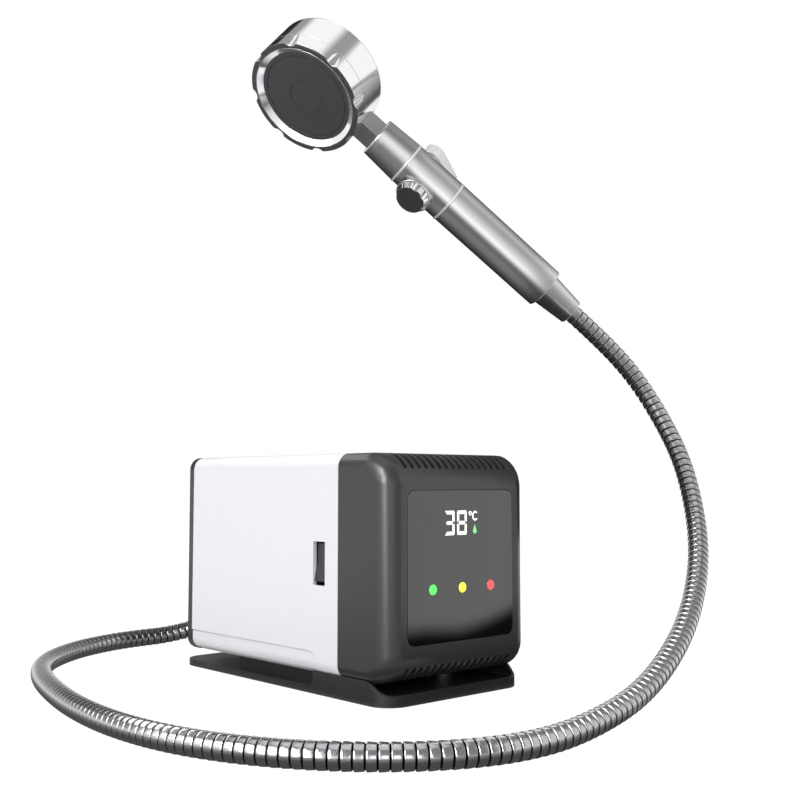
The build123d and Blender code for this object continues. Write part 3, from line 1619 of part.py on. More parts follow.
def nodes():
    """Every node's name and its solids."""
    lamps = lamp_places()
    return {
        "base_tray": base_tray(),
        "base_mat": base_mat(),
        "riser_block": riser_block(),
        "riser_screws": riser_screws(),
        "white_sleeve": white_sleeve(),
        "front_shell": front_shell(),
        "rear_cover": rear_cover(),
        "rear_screws": rear_screws(),
        "display_panel": display_panel(),
        "readout_digits": [inlay(outline) for outline in readout_outlines()],
        "unit_mark": [inlay(outline) for outline in unit_outlines()],
        "drop_light": inlay(drop_outline()),
        "green_lamp": lamp(lamps[0]),
        "yellow_lamp": lamp(lamps[1]),
        "red_lamp": lamp(lamps[2]),
        "display_board": display_board(),
        "switch_housing": switch_housing(),
        "power_rocker": power_rocker(),
        "power_inlet": power_inlet(),
        "inlet_pins": inlet_pins(),
        "inlet_fitting": inlet_fitting(),
        "outlet_fitting": fitting(outlet_x),
        "lock_nuts": lock_nuts(),
        "inlet_strainer": inlet_strainer(),
        "hose_nut": hose_nut(),
        "hose_washers": hose_washers(),
        "hose": hose(),
        "cone_nut": hand(cone_nut()),
        "grip_tube": hand(grip_tube()),
        "trim_rings": hand(trim_rings()),
        "filter_cartridge": hand(filter_cartridge()),
        "valve_body": hand(valve_body()),
        "press_button": hand(press_button()),
        "button_cap": hand(button_cap()),
        "button_spring": hand(button_spring()),
        "flow_lever": hand(flow_lever()),
        "neck_socket": hand(neck_socket()),
        "neck": hand(neck()),
        "head_drum": hand(head_drum()),
        "spray_dial": hand(spray_dial()),
        "dial_bezel": hand(dial_bezel()),
        "spray_plate": hand(spray_plate()),
        "centre_disc": hand(centre_disc()),
        "chassis": chassis(),
        "fan_frame": fan_frame(),
        "fan_rotor": fan_rotor(),
        "heater_block": heater_block(),
        "heater_element": heater_element(),
        "thermal_cutout": thermal_cutout(),
        "temperature_probe": temperature_probe(),
        "flow_sensor": flow_sensor(),
        "flow_turbine": flow_turbine(),
        "pump_housing": pump_housing(),
        "pump_impeller": pump_impeller(),
        "pump_motor": pump_motor(),
        "link_pipe": link_pipe(),
        "outlet_pipe": outlet_pipe(),
        "control_board": control_board(),
        "heat_sink": heat_sink(),
        "power_triac": power_triac(),
    }


os.makedirs("parts", exist_ok=True)
for name, solid in nodes().items():
    shape = Compound(children=solid) if isinstance(solid, list) else solid
    export_step(shape, f"parts/{name}.step")
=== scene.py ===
import bpy
import math
import numpy as np
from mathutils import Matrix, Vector


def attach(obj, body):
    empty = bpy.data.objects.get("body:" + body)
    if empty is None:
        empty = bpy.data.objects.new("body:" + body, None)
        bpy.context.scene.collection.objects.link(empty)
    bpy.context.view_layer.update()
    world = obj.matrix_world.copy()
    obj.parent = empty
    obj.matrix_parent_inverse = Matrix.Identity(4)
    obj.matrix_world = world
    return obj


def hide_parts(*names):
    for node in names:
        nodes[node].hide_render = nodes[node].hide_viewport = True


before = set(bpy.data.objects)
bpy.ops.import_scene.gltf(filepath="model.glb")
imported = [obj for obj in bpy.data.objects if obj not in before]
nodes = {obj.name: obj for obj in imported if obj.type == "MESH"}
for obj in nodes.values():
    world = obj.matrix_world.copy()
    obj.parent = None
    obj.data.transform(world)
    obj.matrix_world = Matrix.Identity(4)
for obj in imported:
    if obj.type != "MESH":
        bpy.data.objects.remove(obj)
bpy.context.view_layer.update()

MM = 0.001
TAU = 2 * math.pi
scene = bpy.context.scene

# The camera stands where the photograph was taken from, a little under the top of the unit, and looks
# slightly upwards past its near left corner. Its lens is the one that the unit's straight edges gave.
camera = bpy.data.objects.new("camera", bpy.data.cameras.new("camera"))
camera.location = (-0.5002, -0.6127, 0.1346)
camera.rotation_euler = (math.radians(94.39), 0, math.radians(-42.16))
camera.data.sensor_width = 36
camera.data.lens = 49.30
camera.data.clip_start = 0.02
scene.collection.objects.link(camera)
scene.camera = camera
scene.view_settings.view_transform = "Standard"


# Hose: a strip of stainless steel wound into interlocking hoops, 14 mm across, from the hot outlet to the
# hand shower. Each turn of the strip is a flat band with rounded edges and a narrow gap behind it, whose
# steel is drawn nearly black as painted shade.
hose_route = [
    (38, 114.4, 31), (38, 153, 31), (22, 188, 21), (-11, 210, 8.5), (-52, 217, 7), (-91, 203, 7),
    (-126, 179, 7), (-159, 142, 7), (-181, 95, 7), (-197, 41, 7), (-209, -15, 7), (-214, -71, 7),
    (-209, -125, 7), (-190, -175, 7), (-158, -217, 7), (-117, -244, 7), (-72, -251, 7), (-26, -247, 10),
    (17, -241, 17), (58, -231, 29), (98, -218, 45), (137, -201, 65), (170, -183, 91), (196, -162, 122),
    (210, -143, 155), (212, -123, 188), (202, -108, 218), (180.3, -95.9, 243.7), (155.2, -84.1, 265.8)]
hose_radius = 7 * MM
strip_pitch = 5.75 * MM
hose_sides = 56
strip_places = np.array([0.00, 0.03, 0.07, 0.13, 0.28, 0.50, 0.72, 0.83, 0.88, 0.92, 0.95, 0.98])
strip_depths = np.array([1.00, 0.45, 0.10, 0.00, 0.04, 0.13, 0.26, 0.34, 0.42, 0.75, 0.98, 1.05]) * MM
# Painted shade along each turn: 1 where the gap's steel is drawn nearly black
strip_shades = np.array([1.0, 0.7, 0.0, 0.0, 0.0, 0.0, 0.0, 0.0, 0.5, 1.0, 1.0, 1.0])


def linear(code):
    """A hex sRGB colour as the linear colour that Blender's sockets take."""
    shares = [int(code[i:i + 2], 16) / 255 for i in (1, 3, 5)]
    return tuple(s / 12.92 if s <= 0.04045 else ((s + 0.055) / 1.055) ** 2.4 for s in shares) + (1.0,)


def add(tree, kind, values=None, links=None, **settings):
    """Adds one shader node with its settings, the values of its sockets and the sockets that feed it."""
    made = tree.nodes.new(kind)
    for key, value in settings.items():
        setattr(made, key, value)
    for key, value in (values or {}).items():
        made.inputs[key].default_value = value
    for key, source in (links or {}).items():
        tree.links.new(source, made.inputs[key])
    return made


def material(name, color, rough, metal=0.0, grain=None, bump=0.0, spread=0.0, rough_spread=0.0, edge=0.0,
             stretch=(1, 1, 1), turn=None, specular=0.5, glow=None, glow_strength=0.0):
    """A finish whose colour, roughness and height follow one noise. Its grain, bump height and the radius
    that its edges are drawn with are in millimetres. Spread is the share by which the colour changes."""
    made = bpy.data.materials.new(name)
    made.use_nodes = True
    tree = made.node_tree
    shader = tree.nodes["Principled BSDF"]
    base = linear(color)
    for key, value in (("Base Color", base), ("Metallic", metal), ("Roughness", rough),
                       ("Specular IOR Level", specular)):
        shader.inputs[key].default_value = value
    if glow:
        shader.inputs["Emission Color"].default_value = linear(glow)
        shader.inputs["Emission Strength"].default_value = glow_strength
    normal = None
    if edge:
        normal = add(tree, "ShaderNodeBevel", {"Radius": edge * MM}, samples=4).outputs["Normal"]
    if grain:
        places = add(tree, "ShaderNodeTexCoord")
        mapping = add(tree, "ShaderNodeMapping", {"Scale": stretch, "Rotation": turn or (0, 0, 0)},
                      {"Vector": places.outputs["Object"]})
        noise = add(tree, "ShaderNodeTexNoise",
                    {"Scale": 1 / (grain * MM), "Detail": 4.0, "Roughness": 0.6},
                    {"Vector": mapping.outputs["Vector"]})
        if spread:
            ramp = add(tree, "ShaderNodeValToRGB", links={"Fac": noise.outputs["Fac"]})
            for stop, place, share in zip(ramp.color_ramp.elements, (0.3, 0.7), (1 - spread, 1 + spread)):
                stop.position = place
                stop.color = tuple(min(1, c * share) for c in base[:3]) + (1,)
            tree.links.new(ramp.outputs["Color"], shader.inputs["Base Color"])
        if rough_spread:
            span = add(tree, "ShaderNodeMapRange",
                       {"From Min": 0.3, "From Max": 0.7, "To Min": max(0.01, rough - rough_spread),
                        "To Max": rough + rough_spread}, {"Value": noise.outputs["Fac"]})
            tree.links.new(span.outputs["Result"], shader.inputs["Roughness"])
        if bump:
            lift = add(tree, "ShaderNodeBump", {"Strength": 1.0, "Distance": bump * MM},
                       {"Height": noise.outputs["Fac"]})
            if normal:
                tree.links.new(normal, lift.inputs["Normal"])
            normal = lift.outputs["Normal"]
    if normal:
        tree.links.new(normal, shader.inputs["Normal"])
    return made


def dress(finish, *names):
    """Gives CAD nodes their finish."""
    for name in names:
        thing = nodes[name]
        if not thing.material_slots:
            thing.data.materials.append(finish)
        for place in thing.material_slots:
            place.material = finish


def grid_faces(rows, columns, closed=True):
    """Four-cornered faces of a grid of points: each joins a point, the next one in its row, and the two
    after them in the following row. A closed grid also joins the last column to the first."""
    wide = columns if closed else columns - 1
    row, column = np.meshgrid(np.arange(rows - 1), np.arange(wide), indexing="ij")
    following = (column + 1) % columns
    corners = np.stack([row * columns + column, row * columns + following,
                        (row + 1) * columns + following, (row + 1) * columns + column], axis=-1)
    return corners.reshape(-1, 4)


def add_mesh(name, points, faces):
    """A new mesh object from points in metres and a list of faces, shaded smooth."""
    mesh = bpy.data.meshes.new(name)
    mesh.from_pydata(np.asarray(points).reshape(-1, 3).tolist(), [], [list(map(int, f)) for f in faces])
    mesh.polygons.foreach_set("use_smooth", np.ones(len(mesh.polygons), dtype=bool))
    mesh.update()
    piece = bpy.data.objects.new(name, mesh)
    scene.collection.objects.link(piece)
    return piece


line_curve = bpy.data.curves.new("hose_line", "CURVE")
line_curve.dimensions = "3D"
line_curve.resolution_u = 24
spline = line_curve.splines.new("NURBS")
spline.points.add(len(hose_route) - 1)
for point, place in zip(spline.points, hose_route):
    point.co = (place[0] * MM, place[1] * MM, place[2] * MM, 1)
spline.order_u = 3
spline.use_endpoint_u = True
line_object = bpy.data.objects.new("hose_line", line_curve)
scene.collection.objects.link(line_object)
bpy.context.view_layer.update()
line_mesh = bpy.data.meshes.new_from_object(line_object)
line = np.array([v.co for v in line_mesh.vertices])
bpy.data.objects.remove(line_object)
steps = np.linalg.norm(np.diff(line, axis=0), axis=1)
reach = np.concatenate([[0], np.cumsum(steps)])
hose_length = float(reach[-1])

# The strip's surface by place and angle: around each place on the line, a circle whose radius is the
# hose's less the strip's depth there, in the plane across the line
turns = int(hose_length / strip_pitch)
along = np.concatenate([(index + strip_places) for index in range(turns)]) / turns * hose_length
depth = np.tile(strip_depths, turns)


def on_line(places):
    """Points of the hose's line at distances along it."""
    return np.stack([np.interp(places, reach, line[:, axis]) for axis in range(3)], axis=1)


forward = on_line(along + 0.5 * MM) - on_line(along - 0.5 * MM)
forward /= np.linalg.norm(forward, axis=1)[:, None]
across = np.cross(forward, (0, 0, 1))
across /= np.linalg.norm(across, axis=1)[:, None]
up = np.cross(forward, across)
angles = np.arange(hose_sides) / hose_sides * TAU
ring_points = (on_line(along)[:, None, :] + (hose_radius - depth)[:, None, None]
               * (np.cos(angles)[None, :, None] * across[:, None, :]
                  + np.sin(angles)[None, :, None] * up[:, None, :]))
hose_piece = add_mesh("strip_wound_hose", ring_points, grid_faces(len(along), hose_sides))
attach(hose_piece, "unit")
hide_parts("hose")
# Stainless strip, rolled bright: it mirrors softly, and its polish changes a little every 1.2 mm
strip_steel = material("bright_rolled_strip_steel", "#BFC0C2", 0.19, metal=1.0, grain=1.2, bump=0.001,
                       spread=0.05, rough_spread=0.03)
hose_piece.data.materials.append(strip_steel)
# The steel in the gap between two turns is painted nearly black: painted shade for the deep groove there
painted_groove_shade = hose_piece.data.attributes.new("painted_groove_shade", "FLOAT", "POINT")
painted_groove_shade.data.foreach_set("value", np.repeat(np.tile(strip_shades, turns), hose_sides))
tree = strip_steel.node_tree
steel_color = tree.nodes["Principled BSDF"].inputs["Base Color"]
share = add(tree, "ShaderNodeAttribute", attribute_name="painted_groove_shade")
shaded = add(tree, "ShaderNodeMixRGB", {"Color2": linear("#0B0B0C")},
             {"Fac": share.outputs["Fac"], "Color1": steel_color.links[0].from_socket})
tree.links.new(shaded.outputs["Color"], steel_color)
dress(strip_steel, "hose", "inlet_strainer")


# Base: a tray of fine matte black ABS with a low front lip, on a rubber mat, and the riser block that the
# case is screwed to. Tray and riser are spark-eroded mouldings, whose 0.25 mm grain looks even and dull.
# The riser is drawn darker and with less specular than the tray, as painted shade for its place under the
# case; it is also rougher. The mat is matt rubber, and the screws are bright zinc-plated steel.
tray_plastic = material("fine_matte_black_plastic", "#191A1B", 0.46, grain=0.25, bump=0.012, spread=0.06,
                        rough_spread=0.06, edge=0.6)
# A darker copy of the tray's black: painted shade for the riser under the case
riser_plastic_painted_shade = material("black_plastic_painted_shade", "#0D0E0F", 0.62, grain=0.25, bump=0.012, spread=0.06,
                         rough_spread=0.05, edge=0.3, specular=0.25)
mat_rubber = material("black_rubber", "#151516", 0.75, grain=0.6, bump=0.03, spread=0.08, rough_spread=0.08)
zinc_steel = material("bright_zinc_steel", "#A6A9AE", 0.30, metal=1.0, grain=0.8, bump=0.003, spread=0.08,
                      rough_spread=0.08, edge=0.2)
dress(tray_plastic, "base_tray")
dress(riser_plastic_painted_shade, "riser_block")
dress(mat_rubber, "base_mat", "hose_washers")
dress(zinc_steel, "riser_screws", "rear_screws", "button_spring")


# Case: a satin white moulded sleeve between a dark front shell and a dark rear cover, all of ABS with a
# fine spark-eroded grain of 0.3 mm that softens the highlights. The rocker is the same dark ABS.
sleeve_plastic = material("satin_white_plastic", "#E6E7EA", 0.27, grain=0.35, bump=0.005, spread=0.010,
                          rough_spread=0.04, edge=0.3)
shell_plastic = material("satin_dark_grey_plastic", "#313131", 0.33, grain=0.30, bump=0.008, spread=0.05,
                         rough_spread=0.05, edge=0.3)
rocker_plastic = material("satin_dark_rocker", "#303133", 0.35, grain=0.30, bump=0.008, spread=0.05,
                          rough_spread=0.05, edge=0.3)
dress(sleeve_plastic, "white_sleeve")
dress(shell_plastic, "front_shell", "rear_cover")
dress(rocker_plastic, "power_rocker")
# The shell's rounded edges are moulded as one smooth surface, so its bands are shaded as one
shell = nodes["front_shell"]
weld = shell.modifiers.new("weld", "WELD")
weld.merge_threshold = 0.01 * MM
corners = shell.modifiers.new("corners", "EDGE_SPLIT")
corners.split_angle = math.radians(30)
evened = shell.modifiers.new("evened", "WEIGHTED_NORMAL")
evened.weight = 50


# Display panel: gloss black acrylic with lit marks and three lamps, on its circuit board. The marks are
# back-lit white, the lamps are coloured lenses over light-emitting diodes. The acrylic mirrors the room
# sharply, with a waviness of some 6 mm, and the board is glass cloth under a green lacquer.
panel_plastic = material("gloss_black_acrylic", "#08090A", 0.05, grain=6.0, bump=0.0004, spread=0.04,
                         rough_spread=0.015, edge=0.25, specular=1.0)
lit_white = material("lit_white_mark", "#F6F8FB", 0.4, grain=0.4, spread=0.02, glow="#FFFFFF",
                     glow_strength=0.9)
lit_drop = material("lit_green_drop", "#6BD67C", 0.4, grain=0.4, spread=0.04, glow="#84E493",
                    glow_strength=0.62)
lit_green = material("lit_green_lens", "#4FE25A", 0.25, grain=0.8, spread=0.05, glow="#5DF26B",
                     glow_strength=0.7)
lit_yellow = material("lit_yellow_lens", "#F3EE3A", 0.25, grain=0.8, spread=0.05, glow="#F8F34A",
                      glow_strength=0.7)
lit_red = material("lit_red_lens", "#F0474C", 0.25, grain=0.8, spread=0.05, glow="#F5555A",
                   glow_strength=0.7)
board_mask = material("green_solder_mask", "#0F4A29", 0.35, grain=1.5, bump=0.004, spread=0.15,
                      rough_spread=0.05)
dress(panel_plastic, "display_panel")
dress(lit_white, "readout_digits", "unit_mark")
dress(lit_drop, "drop_light")
dress(lit_green, "green_lamp")
dress(lit_yellow, "yellow_lamp")
dress(lit_red, "red_lamp")
dress(board_mask, "display_board", "control_board")


# Water and mains fittings at the rear: turned brass with a warm nickel coat, a mains inlet moulded in dull
# black nylon, and the hose's chromed nut. The chrome is a clear mirror, wavy every 9 mm or so.
nickel_brass = material("nickelled_brass", "#B9B093", 0.25, metal=1.0, grain=0.5, bump=0.003, spread=0.06,
                        rough_spread=0.06, edge=0.2)
moulded_black = material("moulded_black_nylon", "#1B1C1E", 0.45, grain=0.3, bump=0.01, spread=0.06,
                         rough_spread=0.06, edge=0.2)
polished_chrome = material("polished_chrome", "#F6F6F7", 0.11, metal=1.0, grain=9.0, bump=0.0012,
                           rough_spread=0.02, spread=0.01, edge=0.25)
dress(nickel_brass, "inlet_pins", "inlet_fitting", "outlet_fitting", "lock_nuts")
dress(moulded_black, "switch_housing", "power_inlet", "thermal_cutout", "power_triac")
dress(polished_chrome, "hose_nut")


# Hand shower: satin chromed handle sections, ground along their length, between polished rings, with a
# polished button, lever, drum and dial. The satin parts blur what they mirror, with a 0.22 mm grain. The
# spray plate and the bezel are dark grey ABS, and the button's cap is a smoother black.
satin_chrome = material("satin_chrome", "#DADADB", 0.21, metal=1.0, grain=0.22, bump=0.0012, spread=0.03,
                        rough_spread=0.04, edge=0.4)
spray_plastic = material("dark_grey_spray_plate", "#3B3B3D", 0.38, grain=0.30, bump=0.008, spread=0.05,
                         rough_spread=0.05, edge=0.2)
cap_plastic = material("gloss_black_cap", "#323334", 0.30, grain=0.5, bump=0.002, spread=0.05,
                       rough_spread=0.03, edge=0.2)
dress(satin_chrome, "cone_nut", "grip_tube", "valve_body", "neck_socket", "neck")
# The rings and the lever take a copy of the chrome that is part matt white, a painted highlight that makes
# them nearly white
highlight_painted_chrome = material("chrome_with_painted_highlight", "#FFFFFF", 0.10, metal=0.6, grain=9.0, bump=0.0012,
                        rough_spread=0.02, spread=0.01, edge=0.3)
dress(highlight_painted_chrome, "trim_rings", "flow_lever")
dress(polished_chrome, "press_button", "head_drum", "spray_dial")
dress(cap_plastic, "button_cap")
dress(spray_plastic, "dial_bezel", "spray_plate", "centre_disc")


# Inside the case and the handle: a zinc-coated sheet chassis, cast heater and heat sink, moulded fan, pump
# and sensor parts, steel cans and silicone pipes. They show through the vents and in the model's views.
# The sheet has a large soft spangle, the castings a sandy 0.7 mm grain, and the cans fine drawing marks.
sheet_metal = material("zinc_coated_sheet", "#9EA2A6", 0.42, metal=0.9, grain=6.0, bump=0.004, spread=0.12,
                       rough_spread=0.10)
cast_metal = material("die_cast_aluminium", "#A8AAAD", 0.5, metal=0.9, grain=0.7, bump=0.03, spread=0.06,
                      rough_spread=0.08)
natural_nylon = material("natural_white_nylon", "#D6D6D0", 0.5, grain=0.4, bump=0.01, spread=0.03,
                         rough_spread=0.05)
soft_silicone = material("pale_silicone", "#CFCFC8", 0.45, grain=0.5, bump=0.008, spread=0.04,
                         rough_spread=0.05)
can_steel = material("drawn_steel_can", "#8F9296", 0.33, metal=1.0, grain=0.5, bump=0.003, spread=0.06,
                     rough_spread=0.06, stretch=(1, 8, 1))
dress(sheet_metal, "chassis")
dress(cast_metal, "heater_block", "heat_sink")
dress(natural_nylon, "filter_cartridge", "flow_sensor", "pump_impeller")
dress(moulded_black, "fan_frame", "fan_rotor", "flow_turbine", "pump_housing")
dress(can_steel, "heater_element", "temperature_probe", "pump_motor")
dress(soft_silicone, "link_pipe", "outlet_pipe")


# Floor: white to the camera and to polished metal, and a plain pale floor to the light that falls on it.
floor_half = 12.0
floor_shown = 0.77
floor_glow = 1.28
floor_grey = (0.5, 0.5, 0.5, 1)
floor_mesh = bpy.data.meshes.new("floor")
floor_mesh.from_pydata([(-floor_half, -floor_half, 0), (floor_half, -floor_half, 0),
                        (floor_half, floor_half, 0), (-floor_half, floor_half, 0)], [], [(0, 1, 2, 3)])
floor = bpy.data.objects.new("floor", floor_mesh)
scene.collection.objects.link(floor)
floor_finish = bpy.data.materials.new("white_floor")
floor_finish.use_nodes = True
tree = floor_finish.node_tree
shader = tree.nodes["Principled BSDF"]
shader.inputs["Base Color"].default_value = floor_grey
shader.inputs["Roughness"].default_value = 0.9
shader.inputs["Specular IOR Level"].default_value = 0.0
rays = add(tree, "ShaderNodeLightPath")
two = add(tree, "ShaderNodeMath", operation="ADD", use_clamp=True,
          links={0: rays.outputs["Is Camera Ray"], 1: rays.outputs["Is Glossy Ray"]})
three = add(tree, "ShaderNodeMath", operation="ADD", use_clamp=True,
            links={0: two.outputs[0], 1: rays.outputs["Is Transmission Ray"]})
shown = add(tree, "ShaderNodeMath", {1: floor_shown}, {0: three.outputs[0]}, operation="MULTIPLY")
glow = add(tree, "ShaderNodeEmission", {"Color": (1, 1, 1, 1), "Strength": floor_glow})
blend = add(tree, "ShaderNodeMixShader", links={"Fac": shown.outputs[0], 1: shader.outputs[0],
                                                2: glow.outputs[0]})
tree.links.new(blend.outputs[0], tree.nodes["Material Output"].inputs["Surface"])
floor_mesh.materials.append(floor_finish)


# World: white to the camera. To the object it is a studio: white along the horizon, grey above, white
# again at the zenith and to the right in front.
world = bpy.data.worlds.new("studio")
scene.world = world
world.use_nodes = True
tree = world.node_tree
background = tree.nodes["Background"]
places = add(tree, "ShaderNodeTexCoord")
split = add(tree, "ShaderNodeSeparateXYZ", links={"Vector": places.outputs["Generated"]})
lift = add(tree, "ShaderNodeMapRange", {"From Min": -1.0, "From Max": 1.0}, {"Value": split.outputs["Z"]})
sky = add(tree, "ShaderNodeValToRGB", links={"Fac": lift.outputs["Result"]})
horizon_end, zenith_start = 0.55, 0.975
grey_levels = ((0.64, 0.36), (0.94, 0.33))
for stop, position in zip(sky.color_ramp.elements, (horizon_end, zenith_start)):
    stop.position = position
    stop.color = (1, 1, 1, 1)
for position, level in grey_levels:
    stop = sky.color_ramp.elements.new(position)
    stop.color = (level, level, level * 1.01, 1)
# The white to the right is a wall: each of its three sides is the direction in which it comes up to white
wall_sides = (("X", 0.38, 0.50), ("Y", -0.1, -0.3), ("Z", 0.76, 0.66))
wall = None
for side, start, end in wall_sides:
    reached = add(tree, "ShaderNodeMapRange", {"From Min": start, "From Max": end},
                  {"Value": split.outputs[side]})
    if wall is None:
        wall = reached.outputs["Result"]
    else:
        both = add(tree, "ShaderNodeMath", links={0: wall, 1: reached.outputs["Result"]},
                   operation="MULTIPLY")
        wall = both.outputs[0]
walled = add(tree, "ShaderNodeMixRGB", {"Color2": (1, 1, 1, 1)},
             {"Fac": wall, "Color1": sky.outputs["Color"]})
tree.links.new(walled.outputs["Color"], background.inputs["Color"])
seen = add(tree, "ShaderNodeBackground", {"Color": (1, 1, 1, 1), "Strength": 1.0})
rays = add(tree, "ShaderNodeLightPath")
chosen = add(tree, "ShaderNodeMixShader", links={"Fac": rays.outputs["Is Camera Ray"],
                                                 1: background.outputs[0], 2: seen.outputs[0]})
tree.links.new(chosen.outputs[0], tree.nodes["World Output"].inputs["Surface"])


# Lamps: a tall key at the front left, a broad fill at the left, one overhead and a low rim behind.
def area_lamp(name, place, target, width, height, power, reflected=True):
    """A soft rectangular lamp at a place, turned to a target."""
    lamp = bpy.data.objects.new(name, bpy.data.lights.new(name, "AREA"))
    lamp.data.shape = "RECTANGLE"
    lamp.data.size = width
    lamp.data.size_y = height
    lamp.data.energy = power
    lamp.location = place
    lamp.rotation_euler = (Vector(target) - Vector(place)).to_track_quat("-Z", "Y").to_euler()
    lamp.visible_glossy = reflected
    scene.collection.objects.link(lamp)


area_lamp("key_softbox", (-1.50, -0.72, 0.85), (0, 0, 0.12), 0.6, 1.3, 9, reflected=False)
area_lamp("left_softbox", (-1.7, 0.3, 0.9), (0, 0, 0.15), 1.6, 1.2, 9)
area_lamp("top_softbox", (-0.1, -0.3, 1.9), (0, 0, 0.1), 1.6, 1.6, 20, reflected=False)
area_lamp("rim_softbox", (-0.25, 1.25, 1.32), (0, 0, 0.15), 1.5, 0.35, 6)
area_lamp("front_softbox", (-0.75, -1.6, 0.35), (0.1, 0, 0.3), 0.8, 0.6, 2.5)


# Cards: sheets of grey levels that only polished metal and gloss show, as a studio's flags and reflectors.
def card(name, points, levels):
    """A stage sheet over a grid of points, each with its own grey level, seen in reflections alone."""
    points = np.asarray(points, dtype=float)
    made = add_mesh(name, points, grid_faces(points.shape[0], points.shape[1], closed=False))
    levels = np.broadcast_to(np.asarray(levels, dtype=float), points.shape[:2]).ravel()
    shade = made.data.attributes.new("level", "FLOAT", "POINT")
    shade.data.foreach_set("value", levels)
    made.data.materials.append(card_finish)
    made.visible_camera = False
    made.visible_diffuse = False
    made.visible_shadow = False


card_finish = bpy.data.materials.new("grey_card")
card_finish.use_nodes = True
tree = card_finish.node_tree
shade = add(tree, "ShaderNodeAttribute", attribute_name="level")
glow = add(tree, "ShaderNodeEmission", {"Color": (1, 1, 1, 1)}, {"Strength": shade.outputs["Fac"]})
tree.links.new(glow.outputs[0], tree.nodes["Material Output"].inputs["Surface"])

# Around the handle: a tube of cards, whose angles are taken from the camera's side, upwards positive. Its
# levels change along the handle, at the cone nut, the grip and the upper socket.
tail = np.array([155.0, -84.0, 266.0]) * MM
rise, heading = math.radians(38.5), math.radians(154.8)
axis = np.array([math.cos(rise) * math.cos(heading), math.cos(rise) * math.sin(heading), math.sin(rise)])
toward = np.array([-0.621, -0.713, -0.325])
toward -= axis * toward.dot(axis)
toward /= np.linalg.norm(toward)
aside = np.cross(axis, toward)
shares = np.array([-1, -0.927, -0.833, -0.737, -0.636, -0.53, -0.424, -0.32, -0.213, -0.139, -0.0745, 0,
                   0.056, 0.121, 0.213, 0.32, 0.424, 0.53, 0.636, 0.737, 0.833, 0.927, 0.966, 0.986,
                   0.994, 1.0])
cone_levels = [0.02, 0.02, 0.03, 0.03, 0.03, 0.03, 0.03, 0.05, 0.11, 0.20, 0.27, 0.30, 0.31, 0.31, 0.34,
               0.39, 0.48, 0.60, 0.80, 0.98, 0.80, 0.42, 0.25, 0.25, 0.80, 0.90]
grip_levels = [0.01, 0.02, 0.07, 0.13, 0.20, 0.23, 0.23, 0.14, 0.16, 0.36, 0.92, 1.25, 1.45, 1.15, 0.96,
               0.78, 0.60, 0.47, 0.48, 0.68, 0.50, 0.27, 0.10, 0.10, 0.95, 1.00]
socket_levels = [0.03, 0.04, 0.07, 0.11, 0.15, 0.19, 0.23, 0.23, 0.22, 0.29, 0.42, 0.72, 0.85, 1.00, 1.15,
                 0.98, 0.58, 0.30, 0.24, 0.31, 0.36, 0.30, 0.22, 0.22, 0.80, 0.90]
# A share u of a bar's radius r faces asin(u) and shows the tube of radius R at 2 asin(u) - asin(u r / R)
ends = np.array([-0.12, 0.004, 0.026, 0.150, 0.172, 0.206])
tube_radii = np.array([0.13, 0.13, 0.13, 0.13, 0.09, 0.05])
bar_radii = np.array([0.0113, 0.0113, 0.0164, 0.0164, 0.0150, 0.0150])
seen_at = 2 * np.arcsin(shares)[None, :] - np.arcsin(shares[None, :] * (bar_radii / tube_radii)[:, None])
around = tube_radii[:, None, None] * (np.cos(seen_at)[..., None] * toward
                                      + np.sin(seen_at)[..., None] * aside)
tube_levels = np.array([cone_levels, cone_levels, grip_levels, grip_levels, socket_levels, socket_levels])
card("handle_cards", tail + axis * ends[:, None, None] + around, tube_levels)

# At the front left: a tall narrow reflector, brightest at the height that the case's upper corner shows
reflector_headings = np.radians([23, 22, 20, 17, 14, 9, 3])
reflector_heights = np.array([0.0, 0.12, 0.3, 0.45, 0.72, 1.0, 1.3])
reflector_levels = np.array([9.5, 10, 11.5, 14.5, 30, 30, 5])
reflector_far = 1.25
case_corner_x, case_corner_y = -0.06, -0.115
width_angles = np.radians([-12, -8, 8, 12])
width_levels = np.array([0.3, 1.0, 1.0, 0.3])
turning = math.pi + width_angles[:, None] + reflector_headings[None, :]
reflector_points = np.stack([case_corner_x + reflector_far * np.cos(turning),
                             case_corner_y + reflector_far * np.sin(turning),
                             np.broadcast_to(reflector_heights, turning.shape)], axis=-1)
card("corner_card", reflector_points, width_levels[:, None] * reflector_levels[None, :])

# In front: a grey sheet that the side of the case's corner shows as a darker band
card("front_card", [[(-0.45, -1.15, 0.0), (-0.45, -1.15, 0.8)],
                    [(0.30, -1.15, 0.0), (0.30, -1.15, 0.8)]], 0.35)

# Overhead to the right: a reflector for the top edge's corner
card("roof_card", [[(0.35, 0.05, 1.5), (0.35, 0.55, 1.4)], [(0.85, 0.05, 1.3), (0.85, 0.55, 1.2)]], 3.5)

# Behind the head: a dark sheet that the drum's back edge shows
head_middle = np.array([-0.024, 0.0, 0.42])
behind = np.array([(0.05, 0.56, 0.83), (0.25, 0.68, 0.68), (0.40, 0.76, 0.51), (0.52, 0.80, 0.33)])
sideways = np.cross(behind, np.gradient(behind, axis=0))
sideways /= np.linalg.norm(sideways, axis=1)[:, None]
card("head_card", np.stack([head_middle + 0.25 * behind + s * sideways for s in (-0.2, 0.2)]), 0.02)
# To its right: a narrow dark sheet for the streak near the drum's lower end
streak = np.radians([6, 12, 20, 27])
streak_places = head_middle + 0.5 * np.stack([np.cos(streak), np.sin(streak), 0 * streak], axis=1)
card("streak_card", np.stack([streak_places + [0, 0, height] for height in (-0.15, 0.35)]),
     np.array([[0.5, 0.04, 0.04, 0.5]]))

# Over the hose behind the unit: a dark flag
card("back_flag", [[(-0.30, 0.09, 0.17), (-0.30, 0.36, 0.17)],
                   [(0.06, 0.09, 0.17), (0.06, 0.36, 0.17)]], 0.10)

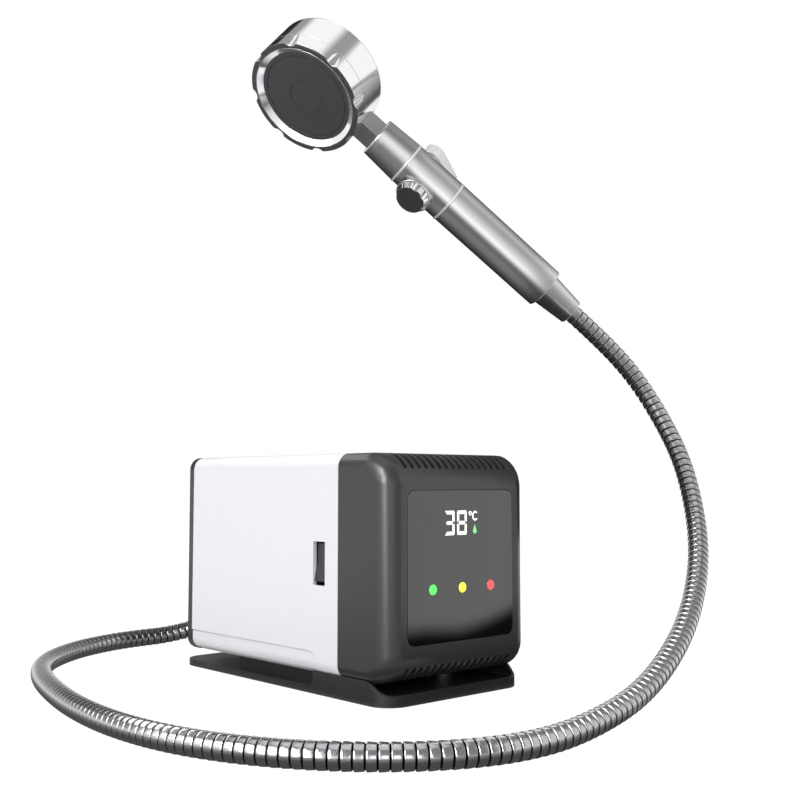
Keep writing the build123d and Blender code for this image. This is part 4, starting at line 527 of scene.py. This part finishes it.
# In front of the panel: a pale reflector, black below a wavy edge that the panel's foot shows
camera_place = np.array(camera.location)
panel_front = -119.3 * MM
mirrored = np.array([camera_place[0], 2 * panel_front - camera_place[1], camera_place[2]])
card_front = -0.165
stretch = (card_front - mirrored[1]) / (panel_front - mirrored[1])
edge_x = np.array([-72, -60, -47, -30, -15, -3, 10, 22.7, 35, 46, 52, 58, 80])
edge_z = np.array([46, 46, 46, 45.8, 44.5, 43.6, 44.8, 47.2, 50.2, 52.9, 54.4, 56, 60])
edge_light = np.array([1.1, 1.2, 1.25, 1.25, 1.25, 1.25, 1.25, 1.25, 1.25, 1.2, 0.8, 0.5, 0.45])
bands = np.array([(-40, 0.01), (-7, 0.02), (-4.5, 0.10), (-2, 0.30), (1, 0.60), (4, 0.88), (8, 1.0),
                  (130, 1.0)])
lowest_row = 4.0
rows = np.maximum(edge_z[None, :] + bands[:, 0][:, None], lowest_row)
shown_at = np.stack([np.broadcast_to(edge_x, rows.shape), np.full(rows.shape, panel_front / MM), rows],
                    axis=-1)
panel_points = mirrored + stretch * (shown_at * MM - mirrored)
card("panel_card", panel_points, bands[:, 1][:, None] * edge_light[None, :])

# On the floor around the unit: darker close to it, as a polished side shows its own shade
tray_half = np.array([61.3, 116.5]) * MM
corner = 16 * MM
offsets = np.array([(3, 0.05), (30, 0.06), (80, 0.15), (160, 0.40), (300, 0.80), (600, 1.0)])
turn_angles = np.linspace(0, TAU, 97)
rounds = np.stack([np.cos(turn_angles), np.sin(turn_angles)], axis=1)
corner_middles = np.sign(np.round(rounds, 6)) * (tray_half - corner)
ring = corner_middles[None] + (corner + offsets[:, 0][:, None, None] * MM) * rounds[None]
above_floor = 0.3 * MM
ring = np.concatenate([ring, np.full(ring.shape[:2] + (1,), above_floor)], axis=-1)
card("floor_card", ring, offsets[:, 1][:, None])

# Beside the hose where it lies on the floor
lying_below = 20 * MM
lying = line[line[:, 2] < lying_below][::6]
heads = np.gradient(lying, axis=0)
heads /= np.linalg.norm(heads, axis=1)[:, None]
beside = np.cross(heads, [0, 0, 1])
hose_bands = np.array([(1.5, 0.10), (12, 0.12), (24, 0.30), (60, 0.45), (110, 0.70)])
above_floor_card = 0.8 * MM
for sign, name in ((-1, "left"), (1, "right")):
    strips = lying[None] + sign * beside[None] * hose_bands[:, 0][:, None, None] * MM
    strips[..., 2] = above_floor_card
    card("hose_card_" + name, strips, hose_bands[:, 1][:, None])
